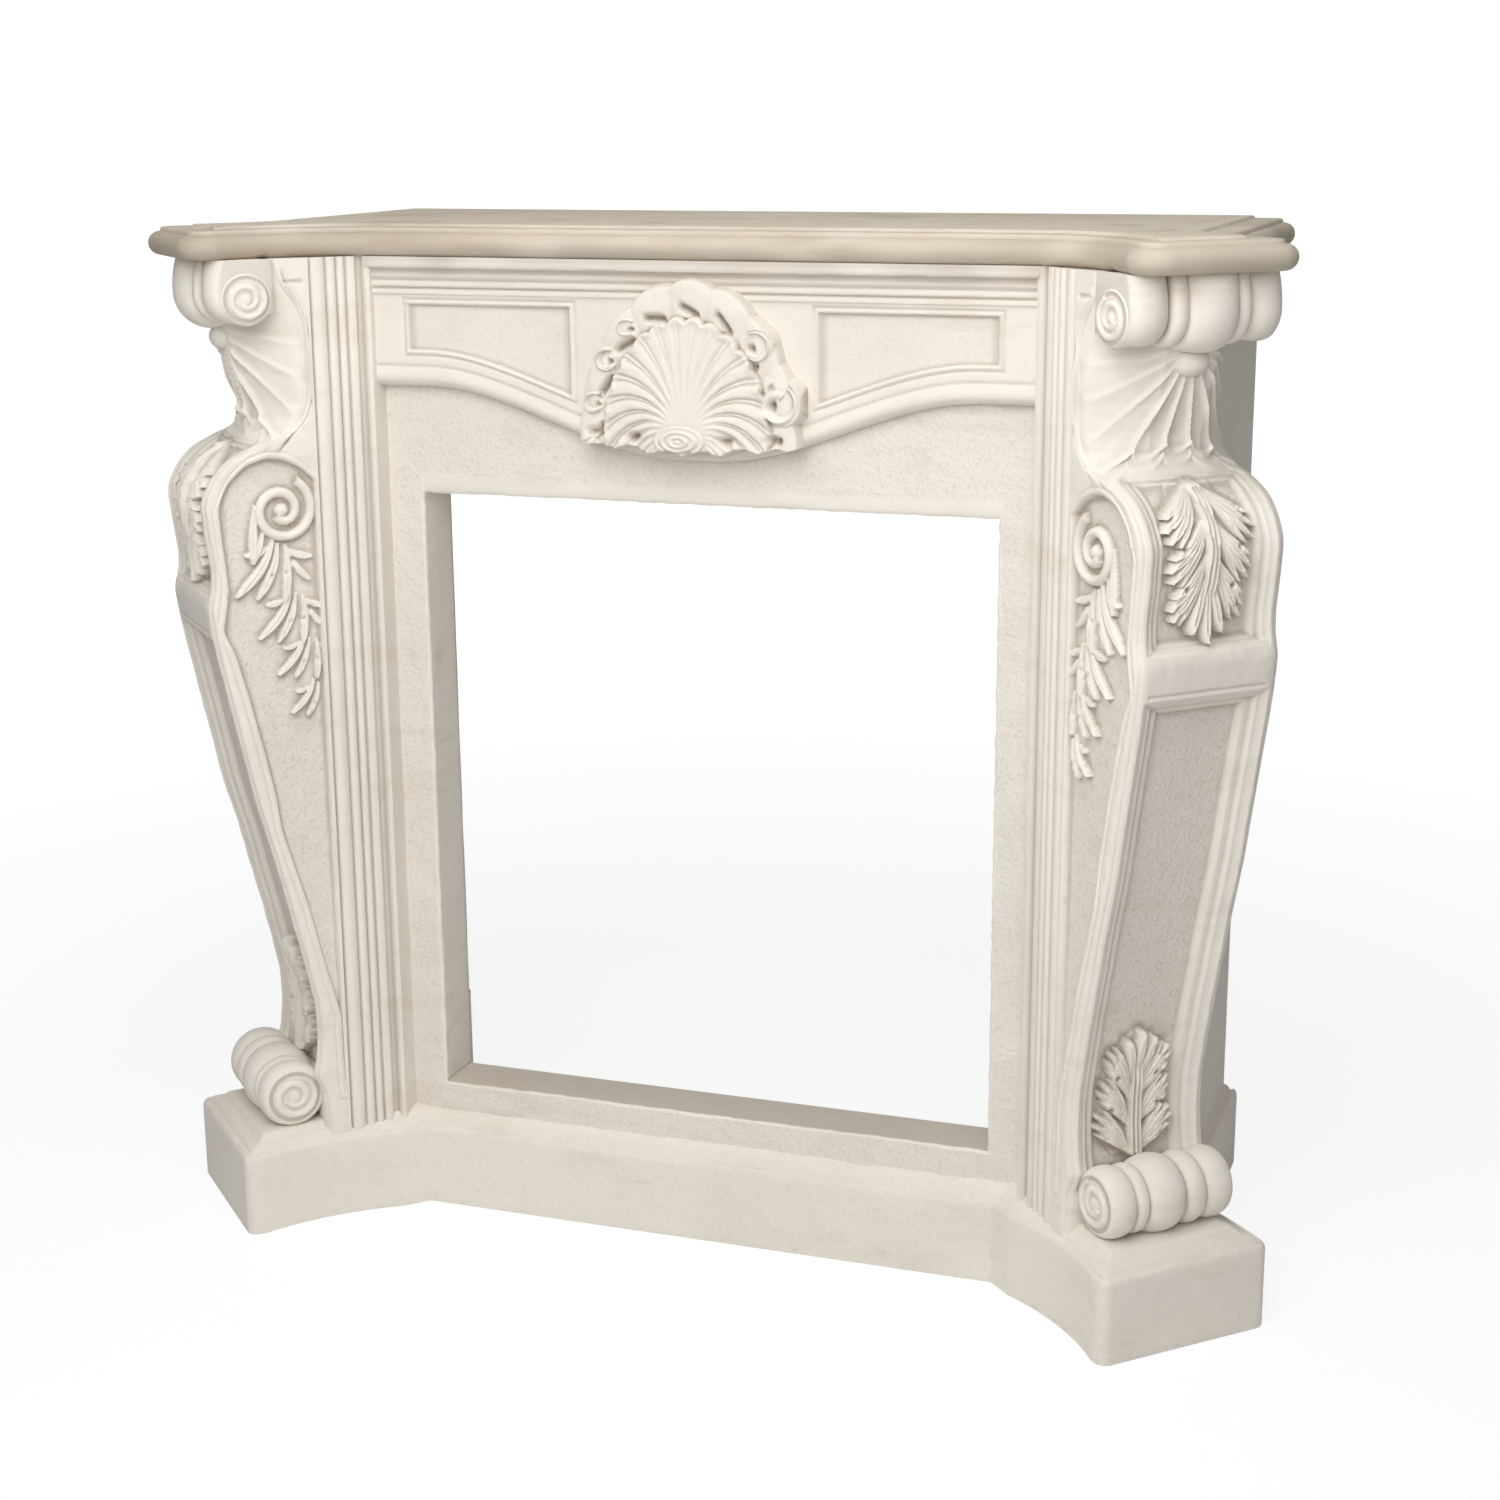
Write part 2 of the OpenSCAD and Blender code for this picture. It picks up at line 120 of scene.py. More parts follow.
class MantelColours(bpy.types.PropertyGroup):
    """Colours of the cast stone and its washes; the greige of the recesses also serves as painted shade."""
    body: tint("Cast stone", "Off-white face of the casting", "#efe9df")
    # Greige wash in the recesses, also used as painted shade: on the sill, under the shelf on the frieze,
    # and as a flat darker tone over the frieze and shell.
    hollow: tint("Patina in hollows", "Greige wash left in the recesses", "#a79b8a")
    beige: tint("Beige wash", "Warm beige wash rubbed over the shelf", "#d9cebb")
    rose: tint("Rose wash", "Pinkish wash in patches on the shelf", "#d9bfae")
    moss: tint("Green wash", "Grey-green wash along lower edges", "#b3ad93")
    ground: tint("Stippled grounds", "Duller tone of the sunk stippled grounds", "#dad3c9")


def mm(name):
    """A size of the mantel in millimetres."""
    return getattr(bpy.context.scene.mantel_sizes, name) / MM


# ---- small curves -----------------------------------------------------------------------------------
def ramp(x, a, b):
    """Cubic ease from 0 at a to 1 at b."""
    t = np.clip((x - a) / (b - a), 0, 1)
    return t * t * (3 - 2 * t)


def crown(x, w):
    """Half circle of unit height over -w to w."""
    return np.sqrt(np.clip(1 - (x / w) ** 2, 0, 1))


def ridge(x, w):
    """Bell of unit height and half width w."""
    return np.exp(-(x / w) ** 2)


def grain(u, v, size, seed):
    """Smooth random values from -1 to 1: a seeded lattice of the given spacing, blended with cubic
    ramps."""
    n = 256
    table = np.random.default_rng(seed).uniform(-1, 1, (n, n))
    x, y = u / size, v / size
    i, j = np.floor(x).astype(int), np.floor(y).astype(int)
    f, g = x - i, y - j
    f, g = f * f * (3 - 2 * f), g * g * (3 - 2 * g)
    i0, i1, j0, j1 = i % n, (i + 1) % n, j % n, (j + 1) % n
    low = table[i0, j0] * (1 - f) + table[i1, j0] * f
    high = table[i0, j1] * (1 - f) + table[i1, j1] * f
    return low * (1 - g) + high * g


def eased(stations, step=0.5, soft=3.0, margin=30):
    """A function through (position, value) stations, level past its ends: straight runs between the
    stations, averaged under a bell of soft mm."""
    x, y = np.array(stations, float).T
    fine = np.arange(x[0] - margin, x[-1] + margin, step)
    span = np.arange(-4 * soft, 4 * soft + step, step)
    bell = np.exp(-0.5 * (span / soft) ** 2)
    half = len(span) // 2
    wider = np.concatenate([fine[:1] + span[:half], fine, fine[-1:] + span[-half:]])
    smooth = np.convolve(np.interp(wider, x, y), bell / bell.sum(), mode="valid")
    return lambda p: np.interp(p, fine, smooth)


def blurred(field, k):
    """Mean of a field over a square window of half size k."""
    for axis in (0, 1):
        pad = [(k + 1, k) if a == axis else (0, 0) for a in (0, 1)]
        total = np.cumsum(np.pad(field, pad, mode="edge"), axis=axis)
        n = field.shape[axis]
        high = np.take(total, np.arange(2 * k + 1, 2 * k + 1 + n), axis=axis)
        low = np.take(total, np.arange(0, n), axis=axis)
        field = (high - low) / (2 * k + 1)
    return field


def hollows(field, k=5, depth=2.5):
    """How far each point lies below its surroundings, from 0 to 1."""
    return np.clip((blurred(field, k) - field) / depth, 0, 1)


# ---- meshes from grids ------------------------------------------------------------------------------
def sheet(points, wrap=False, hollow=None, stipple=None):
    """One closed grid: rows of points, whose columns wrap round. The first and last rows are capped,
    unless the rows wrap round too. Wash with painted shade, and stipple, are fields the material reads."""
    shape = points.shape[:2]
    spread = lambda f: np.zeros(shape) if f is None else np.broadcast_to(f, shape)
    return {"points": points, "wrap": wrap, "hollow": spread(hollow), "stipple": spread(stipple)}


def faces_of(s):
    """Quads of a grid and its two end polygons, turned so that they face outwards."""
    nu, nv = s["points"].shape[:2]
    i = np.arange(nu if s["wrap"] else nu - 1)[:, None]
    j = np.arange(nv)[None, :]
    k, m = (i + 1) % nu, (j + 1) % nv
    quads = np.stack([i * nv + j, i * nv + m, k * nv + m, k * nv + j], -1).reshape(-1, 4)
    ends = []
    if not s["wrap"]:
        ends = [np.arange(nv)[::-1], (nu - 1) * nv + np.arange(nv)]
    p = s["points"].reshape(-1, 3)
    a, b, c, d = (p[quads[:, n]] for n in range(4))
    volume = (np.einsum("ij,ij->i", a, np.cross(b, c)) + np.einsum("ij,ij->i", a, np.cross(c, d))).sum()
    for e in ends:
        q = p[e]
        fan = np.cross(q[1:-1], q[2:])
        volume += np.einsum("ij,ij->i", np.broadcast_to(q[0], fan.shape), fan).sum()
    if volume < 0:
        quads, ends = quads[:, ::-1], [e[::-1] for e in ends]
    return quads, ends


def mirrored(mesh):
    """A copy of a mesh mirrored from right to left, facing outwards."""
    mesh = mesh.copy()
    co = np.empty(len(mesh.vertices) * 3, np.float32)
    mesh.vertices.foreach_get("co", co)
    co[0::3] *= -1
    mesh.vertices.foreach_set("co", co)
    mesh.flip_normals()
    return mesh


def piece(name, sheets, material, sharp=50):
    """Joins closed grids, given in millimetres from the wall plane, into one mesh object."""
    points, index, starts, hollow, stipple = ([] for _ in range(5))
    base = at = 0
    for s in sheets:
        quads, ends = faces_of(s)
        points.append(s["points"].reshape(-1, 3))
        hollow.append(s["hollow"].reshape(-1))
        stipple.append(s["stipple"].reshape(-1))
        index.append((quads + base).ravel())
        starts.append(at + 4 * np.arange(len(quads)))
        at += quads.size
        for e in ends:
            index.append(e + base)
            starts.append(np.array([at]))
            at += len(e)
        base += len(points[-1])
    co = (np.concatenate(points) + np.array([0, WALL, 0])) * MM
    loops = np.concatenate(index).astype(np.int32)
    begin = np.concatenate(starts).astype(np.int32)
    mesh = bpy.data.meshes.new(name)
    mesh.vertices.add(len(co))
    mesh.vertices.foreach_set("co", co.astype(np.float32).ravel())
    mesh.loops.add(len(loops))
    mesh.loops.foreach_set("vertex_index", loops)
    mesh.polygons.add(len(begin))
    mesh.polygons.foreach_set("loop_start", begin)
    mesh.update(calc_edges=True)
    for label, values in (("hollow", hollow), ("stipple", stipple)):
        layer = mesh.attributes.new(label, "FLOAT", "POINT")
        layer.data.foreach_set("value", np.concatenate(values).astype(np.float32))
    return place(name, mesh, material, sharp)


def place(name, mesh, material, sharp=50):
    """Puts a finished mesh in the scene as a piece that is fixed to the root, with edges over sharp
    degrees."""
    mesh.polygons.foreach_set("use_smooth", np.ones(len(mesh.polygons), bool))
    mesh.set_sharp_from_angle(angle=radians(sharp))
    obj = bpy.data.objects.new(name, mesh)
    bpy.context.collection.objects.link(obj)
    mesh.materials.clear()
    mesh.materials.append(material)
    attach(obj, "root")
    return obj


def thin(obj, target, sharp=50):
    """Collapses a dense mesh to about target triangles, keeping its carved edges."""
    obj.data.calc_loop_triangles()
    count = len(obj.data.loop_triangles)
    if count > target:
        step = obj.modifiers.new("thin", "DECIMATE")
        step.ratio = target / count
        step.use_collapse_triangulate = True
        graph = bpy.context.evaluated_depsgraph_get()
        mesh = bpy.data.meshes.new_from_object(obj.evaluated_get(graph))
        obj.modifiers.clear()
        obj.data = mesh
        mesh.set_sharp_from_angle(angle=radians(sharp))
    return obj


# ---- plan -------------------------------------------------------------------------------------------
def plan():
    """Key places of the plan in millimetres, worked out from the named sizes: x and y are the middle of
    the canted plinth's face, w is half a leg's width and run is the leg's inner side with the reeds."""
    half, run, w = mm("opening_w") / 2 + mm("jamb"), mm("leg_side") + mm("reeds"), mm("leg_w") / 2
    base_y = mm("chamber") + mm("base_proud")
    x, y = half + C45 * (run + w), base_y + C45 * (run - w)
    return {"slab_half": half, "run": run, "w": w, "base_y": base_y, "x": x, "y": y,
            "return_x": x + C45 * (w - mm("outer_side")), "return_y": y - C45 * (mm("outer_side") + w)}


def on_leg(p, a, b):
    """Plan point a mm towards a leg's outer side and b mm behind its plinth face."""
    a, b = np.broadcast_arrays(np.asarray(a, float), np.asarray(b, float))
    return np.stack([p["x"] + C45 * (a - b), -p["y"] + C45 * (a + b)], -1)


def line(a, b, n):
    """n points from a towards b, without b."""
    t = np.arange(n)[:, None] / n
    return np.asarray(a) * (1 - t) + np.asarray(b) * t


def bend(a, q, b, n):
    """n points on the quadratic curve from a by q to b, without b."""
    t = np.arange(n)[:, None] / n
    return (1 - t) ** 2 * a + 2 * t * (1 - t) * q + t * t * b


def arc(c, r, start, end, n):
    """n points on an arc of radius r about c, without its end."""
    g = np.radians(start + (end - start) * np.arange(n) / n)
    return np.asarray(c) + r * np.stack([np.cos(g), np.sin(g)], -1)


def both_sides(right):
    """A path from the middle of the front to the right wall end, led by its mirror from the left wall
    end."""
    return np.concatenate([right[::-1] * [-1, 1], right[1:]])


def base_half(p, d):
    """Right half of the base's outline drawn in by d: front, shoulder, concave sweep, canted plinth,
    return.
    """
    half, fillet, shoulder_w, bulge, beside = mm("plinth_w") / 2, 12.0, 32, 20, 15
    r, w = max(fillet - d, 1.0), half - d
    run = (p["y"] - p["base_y"]) / C45 + half
    end_x = p["return_x"] + beside
    meet = half - (end_x - p["x"]) / C45 + MITRE * d
    front, shoulder = on_leg(p, -w, run + MITRE * d), on_leg(p, -w, run - shoulder_w)
    foot = on_leg(p, -w, fillet + 6 + d)
    first, second = on_leg(p, r - w, d + r), on_leg(p, w - r, d + r)
    turn, end = on_leg(p, w, meet), np.array([end_x - d, 0.0])
    near, far = arc(first, r, -135, -45, 8), arc(second, r, -45, 45, 8)
    return np.concatenate([
        line([0, front[1]], front, 70), line(front, shoulder, 8),
        bend(shoulder, (shoulder + foot) / 2 + bulge * C45, foot, 26), line(foot, near[0], 3), near,
        line(arc(first, r, -45, 0, 1)[0], far[0], 34), far,
        line(arc(second, r, 45, 90, 1)[0], turn, 26), line(turn, end, 40), [end]])


def shelf_half(p, d):
    """Right half of the shelf's outline drawn in by d: front, sweep, canted ear, end."""
    ear_r, ear_half, ear_proud, straight = 30.0, 88.0, 3.0, 4
    front_proud, end_proud, sweep, waist, wall_run = 9, 34, 32, 10, 26
    r, a, b = max(ear_r - d, 1.0), ear_half - d, d - ear_proud
    front_y, end_x = p["base_y"] + front_proud, p["return_x"] + end_proud
    turn = (p["y"] - front_y + d) / C45 + a
    back = a - (end_x - d - p["x"]) / C45
    start, ear = on_leg(p, -a, turn), on_leg(p, -a, b + r + straight)
    first, second = on_leg(p, r - a, b + r), on_leg(p, a - r, b + r)
    out, meet = on_leg(p, a, b + r + straight), on_leg(p, a, back) + [0, wall_run]
    return np.concatenate([
        line([0, start[1]], start, 60), bend(start, (start + ear) / 2 + sweep * C45, ear, 40),
        line(ear, arc(first, r, -135, -45, 2)[0], 2), arc(first, r, -135, -45, 14),
        line(arc(first, r, -45, 0, 1)[0], arc(second, r, -45, 45, 2)[0], 24), arc(second, r, -45, 45, 14),
        line(arc(second, r, 45, 90, 1)[0], out, 2), bend(out, (out + meet) / 2 - waist * C45, meet, 16),
        line(meet, [end_x - d, 0], 46), [[end_x - d, 0]]])


# ---- carving ----------------------------------------------------------------------------------------
def lobes(x, y, rows):
    """Height of overlapping leaf lobes, the highest winning. Each row gives root x and y, bearing in
    degrees from +y, length, half width, height and side bend. A lobe is shaped like a spoon: narrow at
    its root, fullest near its rounded tip, round in section, with a vein sunk along it."""
    out = np.zeros(np.broadcast(x, y).shape)
    for x0, y0, bearing, reach, half, high, curve in rows:
        s0, c0 = sin(radians(bearing)), cos(radians(bearing))
        dx, dy = x - x0, y - y0
        along = (dx * s0 + dy * c0) / reach
        s = np.clip(along, 0, 1)
        across = dx * c0 - dy * s0 - curve * reach * s ** 2
        wide = half * (0.45 + 0.55 * ramp(s, 0, 0.6)) * crown(np.maximum(s - 0.7, 0), 0.3) + 0.01
        body = crown(across, wide) ** 0.8 * (0.55 + 0.45 * ramp(s, 0, 0.75))
        vein = 0.22 * ridge(across, 1.2) * (s < 0.85)
        out = np.maximum(out, high * np.where((along > 0) & (along < 1), body - vein * body, 0))
    return out


def acanthus(x, y, reach, half, high):
    """An acanthus leaf with its root at y = 0 and its tip at y = reach. On each side the fingers come in
    groups of four that sweep out from the midrib and end in round knobs along a bay of the outline, over
    a low blade, with drilled eyes where two groups meet. The midrib is three fine ridges side by side,
    with three lobes at its tip."""
    rows, eyes = [], np.zeros(np.broadcast(x, y).shape)
    droop, groups = 0.16, 3
    # Each finger: how far out its tip is, how far below the group's top, its half width.
    fingers = ((0.92, 0.17, 3.7), (1.0, 0.09, 4.3), (0.93, 0.02, 4.3), (0.72, 0.0, 3.9))
    for k in range(groups):
        fall = 0.37 + 0.25 * k * 2 / (groups - 1)
        for side in (-1, 1):
            for out, back, fat in fingers:
                x0, y0 = side * 2.0, reach * (0.2 * k - 0.02 * (out < 0.8))
                dx, dy = side * half * out * (1 - 0.1 * k) - x0, reach * (fall - back) - y0
                bearing = np.degrees(atan2(dx, dy)) - side * np.degrees(atan2(droop, 1))
                far = np.hypot(dx, dy) / sqrt(1 + droop * droop)
                rows.append((x0, y0, bearing, far, fat, high * (0.86 + 0.14 * (out > 0.9)), side * droop))
            if k:
                x1, y1 = side * half * (0.70 - 0.1 * k), reach * (fall - 0.235)
                eyes = eyes + np.exp(-((x - x1) ** 2 + (y - y1) ** 2) / 5.5)
    for lean, far in ((-11, 0.42), (0, 0.47), (11, 0.42)):
        rows.append((0.2 * lean, reach * 0.53, lean, reach * far, half * 0.125, high, 0.004 * lean))
    leaf = lobes(x, y, rows)
    width = half * np.interp(y / reach, [0, 0.25, 0.65, 0.9, 1], [0.45, 0.8, 0.75, 0.4, 0.1])
    blade = crown(x, width) ** 0.5 * ramp(y, -1, 4) * (1 - ramp(y, reach - 5, reach))
    rib = sum(ridge(x - c, 1.5) for c in (-4.4, 0, 4.4))
    rib = rib * ramp(y, -2, 4) * (1 - ramp(y, reach * 0.55, reach * 0.95))
    return np.maximum(leaf, rib * high) + 0.22 * high * blade - 0.6 * high * np.minimum(eyes, 1)


def scroll(x, y, outer, inner, turns, half, start, knob=True):
    """Height from 0 to 1 of a ribbon along a spiral about the origin, from radius outer at angle start
    (degrees, running clockwise) in to radius inner after the given turns, with a round knob at its eye if
    asked."""
    r = np.hypot(x, y)
    g = (radians(start) - np.arctan2(y, x)) % (2 * pi) / (2 * pi)
    best = np.full(r.shape, 1e3)
    for n in range(int(turns) + 2):
        t = g + n
        near = np.abs(r - (outer + (inner - outer) * np.clip(t / turns, 0, 1)))
        best = np.minimum(best, np.where(t <= turns, near, 1e3))
    return np.maximum(crown(best, half), crown(r, inner * 0.95) if knob else 0)


# ---- leg --------------------------------------------------------------------------------------------
def leg_curves():
    """Front profile of a leg (height, distance behind the plinth face) and the turn back of its neck."""
    front = eased([
        (70, 98), (100, 98), (140, 96), (161, 86), (178, 90), (205, 93), (244, 92), (305, 80), (412, 56),
        (480, 39), (564, 23), (629, 10), (655, 5.5), (672, 3.5), (689, 2), (700, 5), (709, 7.5), (730, 8),
        (763, 4), (790, 1.5), (800, 2.5), (812, 8), (822, 14), (832, 23), (839, 32), (848, 45), (858, 61),
        (866, 68), (876, 70), (890, 70), (915, 63), (939, 57), (967, 53), (1000, 51), (1045, 51)])
    turn = eased([
        (820, 0), (840, 0), (848, 6), (858, 20), (866, 28), (878, 36), (898, 45), (922, 52), (959, 60),
        (975, 60), (993, 54), (1016, 38), (1045, 30)])
    return front, turn


def panel_section(d, wide, ground):
    """Depth of a sunk panel at distance d inside its rim: a splay down to four fifths of the ground's
    depth over the given width, with two thin beads and a groove along it, then a short steep fall to the
    ground."""
    splay = 0.8 * ground * np.clip(d / wide, 0, 1) ** 0.85
    beads = 1.2 * ridge(d - 0.42 * wide, 1.5) + 1.3 * ridge(d - 0.86 * wide, 1.6)
    groove = 1.0 * ridge(d - 0.62 * wide, 1.3)
    return splay - beads * (d > 0) + groove + 0.2 * ground * ramp(d, wide, wide + 3.5)


def neck_fan(a, z, turn):
    """Outward relief of the fan on a leg's neck: flutes along rays from a point under the capital, with
    the turned sides unrolled, each ending in a scallop with a raised lip, and a thin band below."""
    side = np.abs(a)
    flat, centre = 28.0, 972
    turned_part = np.maximum(side - flat, 0) * np.sqrt(1 + (turn / 52) ** 2)
    unrolled = np.sign(a) * (np.minimum(side, flat) + turned_part)
    drop = centre - z
    angle = np.degrees(np.arctan2(unrolled, np.maximum(drop, 1)))
    q = angle / 17.5 + 0.5  # one flute in every 17.5 degrees
    f = q - np.floor(q)
    low = 886 - 24 * (np.abs(unrolled) / 100) ** 1.4 - 11 * crown(2 * f - 1, 1.02)
    inside = ramp(z, low - 0.8, low + 1.2) * (z < 1000)
    reach = np.hypot(unrolled, drop)
    deep = 6.5 - 3.4 * ramp(np.abs(unrolled), 24, 70)
    flute = deep * (1 - np.abs(2 * f - 1) ** 2.6) * ramp(reach, 4, 75) * inside
    lip = 2.8 * ridge(z - low - 1.6, 2.0) * (z > 840) * (z < 1000)
    plate = 3.2 * inside * (z > 845)
    band = 1.8 * ridge(z - low + 9, 2.8) * (z > 838) * (z < 900)
    return np.where((z > 838) & (z < 1002), plate - flute + lip + band, 0)


def front_relief(a, z, turn):
    """Outward relief of a leg's front at a mm across and height z: knee panel with its leaf, cross band,
    shaft panel with the foot leaf, and the fan on the neck. Also returns where it is stippled."""
    side = np.abs(a)
    knee = np.minimum(69 - side, 2.0 * np.minimum(z - 699, 856 - z))
    shaft = np.minimum(70 - side, 1.7 * np.minimum(657 - z, z - 140))
    depth = panel_section(knee, 18, 13.5) + panel_section(shaft, 23, 16)
    stipple = ramp(shaft, 26, 29) + ramp(knee, 21, 24)
    out = 0.45 * grain(a, z, 19, 51) + 0.25 * grain(a, z, 7, 52) - depth
    out = out + 1.2 * ridge(z - 703, 2.2) * (side < 66) - 1.8 * ridge(z - 662, 1.5) * (side < 66)
    y, t = 851 - z, z - 168
    leaf = acanthus(a + 3 * np.sin(y / 60), y, 145, 50, 14.0)
    leaf = leaf * ramp(y, -2, 2) * ramp(148 - y, 0, 4) * ramp(54 - side, 0, 4)
    foot = acanthus(a + 3, t, 136, 45, 15.0) * ((t > -3) & (t < 138)) * ramp(51 - side, 0, 3)
    out = out + leaf + foot + neck_fan(a, z, turn)
    return out, np.clip(stipple * (1 - ramp(leaf + foot, 0.4, 1.6)), 0, 1)


def side_spray(b, z):
    """Height of the leaves that hang below the scroll on a leg's side: four sprays of six lobes, one
    below and behind the other and each smaller, over a low swell, with drilled eyes between the lobes."""
    tail = [(58, 792, 189, 62, 5.4, 7.6, -0.08), (66, 768, 196, 40, 4.6, 7.0, 0.1)]
    eyes = np.zeros(b.shape)
    for x0, z0, big in ((70, 748, 1.0), (86, 694, 0.86), (98, 646, 0.72), (106, 598, 0.62)):
        tail += [
            (x0 + 4, z0 + 8, 192, 66 * big, 6.4 * big, 8.2, 0.44),
            (x0 + 9, z0 + 4, 183, 60 * big, 5.6 * big, 7.8, 0.36),
            (x0 + 17, z0 + 2, 174, 60 * big, 5.6 * big, 7.2, 0.16),
            (x0 - 1, z0, 230, 25 * big, 4.8 * big, 6.4, 0.4),
            (x0 + 17, z0 - 2, 134, 28 * big, 5.0 * big, 6.2, -0.4),
            (x0 + 20, z0 - 8, 158, 36 * big, 4.8 * big, 6.2, -0.25)]
        for x1, z1 in ((x0 + 16, z0 - 28 * big), (x0 + 2, z0 - 30 * big), (x0 + 24, z0 - 14 * big)):
            eyes = eyes + np.exp(-((b - x1) ** 2 + (z - z1) ** 2) / 6.0)
    swell = 1.6 * ridge((b - 84 - 0.17 * (745 - z)) / 20, 1) * ramp(z, 545, 600) * (1 - ramp(z, 730, 755))
    return lobes(b, z, tail) - 4.0 * np.minimum(eyes, 1) + swell


def side_relief(b, z):
    """Inward depth of a leg's inner side at b mm behind the plinth face: a stippled ground inside a rim
    that arches over the top, a scroll curling from the arch, leaves hanging below it, and a ribbon edge
    up the neck. Also returns where it is stippled."""
    rim = eased([
        (100, 120), (140, 120), (183, 119), (230, 119), (281, 106), (358, 89), (445, 65), (482, 61),
        (524, 53), (589, 39), (638, 27), (664, 16), (683, 20), (707, 24), (757, 20), (791, 18), (814, 26),
        (832, 44), (840, 60), (860, 75)], soft=4.0)
    arch = eased([
        (10, 780), (18, 791), (28, 815), (49, 834), (71, 841), (88, 839), (106, 830), (124, 812),
        (140, 800)])
    ribbon = eased([
        (845, 75), (865, 92), (878, 105), (898, 114), (922, 117), (959, 115), (993, 107), (1016, 92),
        (1045, 80)])
    panel_end, panel_foot = 121.5, 138
    inside = np.minimum((b - rim(z)) * 0.95, arch(b) - z)
    inside = np.minimum(inside, np.minimum(panel_end - b, z - panel_foot))
    depth = 8.5 * ramp(inside, 0, 3.2)
    depth = depth - 1.0 * ridge(inside + 3.0, 1.8) + 0.9 * ridge(inside + 6.2, 1.2)
    depth = depth + 0.4 * grain(b, z, 17, 53) + 0.2 * grain(b, z, 6, 54)
    curl = scroll(b - 85, z - 785, 34, 8, 1.55, 5.4, 62)
    carved = ramp(inside, 0.5, 3.5) * np.maximum(8.4 * curl, side_spray(b, z))
    depth = depth - carved
    edge = b - ribbon(z)
    run = ramp(z, 840, 856) * ramp(1030 - z, 0, 8)
    depth = depth + run * (2.6 * ridge(edge - 9.5, 2.6) - 3.2 * crown(edge - 1.5, 7) ** 0.8)
    depth = depth + 2.6 * ridge(z - 1016, 1.8) * ramp(b, 92, 98) * (1 - ramp(b, 116, 120))
    return depth, ramp(inside, 3, 6) * (1 - ramp(carved, 0.4, 1.6))


def reed_section(b, start, width):
    """Inward depth across the reeded strip: fillet, broad reed, two narrower reeds, a turned face, a
    groove."""
    t = b - start
    base = 5.2 * ramp(t, 2.5, 3.6) * (1 - ramp(t, width - 6, width - 4.5))
    for centre, half, high in ((12.5, 8.6, 5.2), (26.8, 5.4, 4.6), (37.2, 4.6, 4.2)):
        base = base - high * crown(t - centre, half) ** 1.5
    flat = ramp(t, 42.5, 44) * (1 - ramp(t, 51, 53))
    return base - 3.2 * flat + 3.0 * ramp(t, 53, 55) * (1 - ramp(t, width - 6, width - 4.5))


def leg_skin(p):
    """The right leg as one closed grid: rows run up its height, columns run round its section, from the
    outer side across the front to the inner side, the reeds and back inside the slab. The front stands
    behind the plinth face by the profile, the neck's sides turn back, and the carving is added square to
    each face."""
    front, turn = leg_curves()
    # Half width, corner radius, wear of the corners, and where the turn back and the wear begin.
    w, fillet, worn, flat, straight = p["w"], 5.0, 4.0, 28, 60
    outer, reeds_w = mm("outer_side"), mm("reeds")
    start = p["run"] - reeds_w
    z = np.concatenate([
        np.arange(88, 640, 1.75), np.arange(640, 1000, 1.25), np.linspace(1000, SURROUND_TOP, 22)])[:, None]
    one = np.ones_like(z)
    a = np.linspace(w - fillet, fillet - w, 146)[None, :]
    t = turn(z)
    side = np.clip((np.abs(a) - flat) / 52, 0, 1.2)
    relief, front_stipple = front_relief(a, z, t)
    rounding = worn * (1 - crown(np.maximum(np.abs(a) - straight, 0), w - fillet - straight))
    b_front = front(z) + t * side ** 1.1 - relief + rounding
    b_corner = front(z) + t * ((w - flat) / 52) ** 1.1 + fillet + worn
    b_inner = b_corner + (start - b_corner) * np.linspace(0, 1, 92)[None, :]
    depth, side_stipple = side_relief(b_inner, z)
    across = np.linspace(0, reeds_w, 78)[None, :]
    reeds = reed_section(start + across, start, reeds_w) + 0 * z
    g = np.radians(np.linspace(0, 90, 7)[1:-1])[None, :]
    b_outer = b_corner + (outer + 25 - b_corner) * np.linspace(1, 0, 16)[None, :]
    inside = np.array([(-w, p["run"]), (-w + 24 * C45, p["run"] + 24 * C45), (-w + 34, p["run"] + 34),
                       (0, outer + 96), (w - 30, outer + 30)])
    A = np.concatenate([
        w * np.ones_like(b_outer), w - fillet + fillet * np.cos(g) * one, a * one,
        -(w - fillet + fillet * np.sin(g)) * one, -(w - depth), -(w - reeds), inside[:, 0] * one], 1)
    B = np.concatenate([
        b_outer, b_corner - fillet * np.sin(g), b_front,
        b_corner - fillet * np.cos(g), b_inner, (start + across) * one, inside[:, 1] * one], 1)
    field, stipple = np.zeros(A.shape), np.zeros(A.shape)
    at = b_outer.shape[1] + g.size
    for carved, marks in ((relief, front_stipple), (-depth, side_stipple), (-reeds, 0)):
        n = carved.shape[1]
        field[:, at:at + n], stipple[:, at:at + n] = carved, marks
        at += n + (g.size if carved is relief else 0)
    P = np.concatenate([on_leg(p, A, B), np.broadcast_to(z, A.shape)[..., None]], -1)
    return sheet(P, hollow=hollows(field), stipple=stipple)


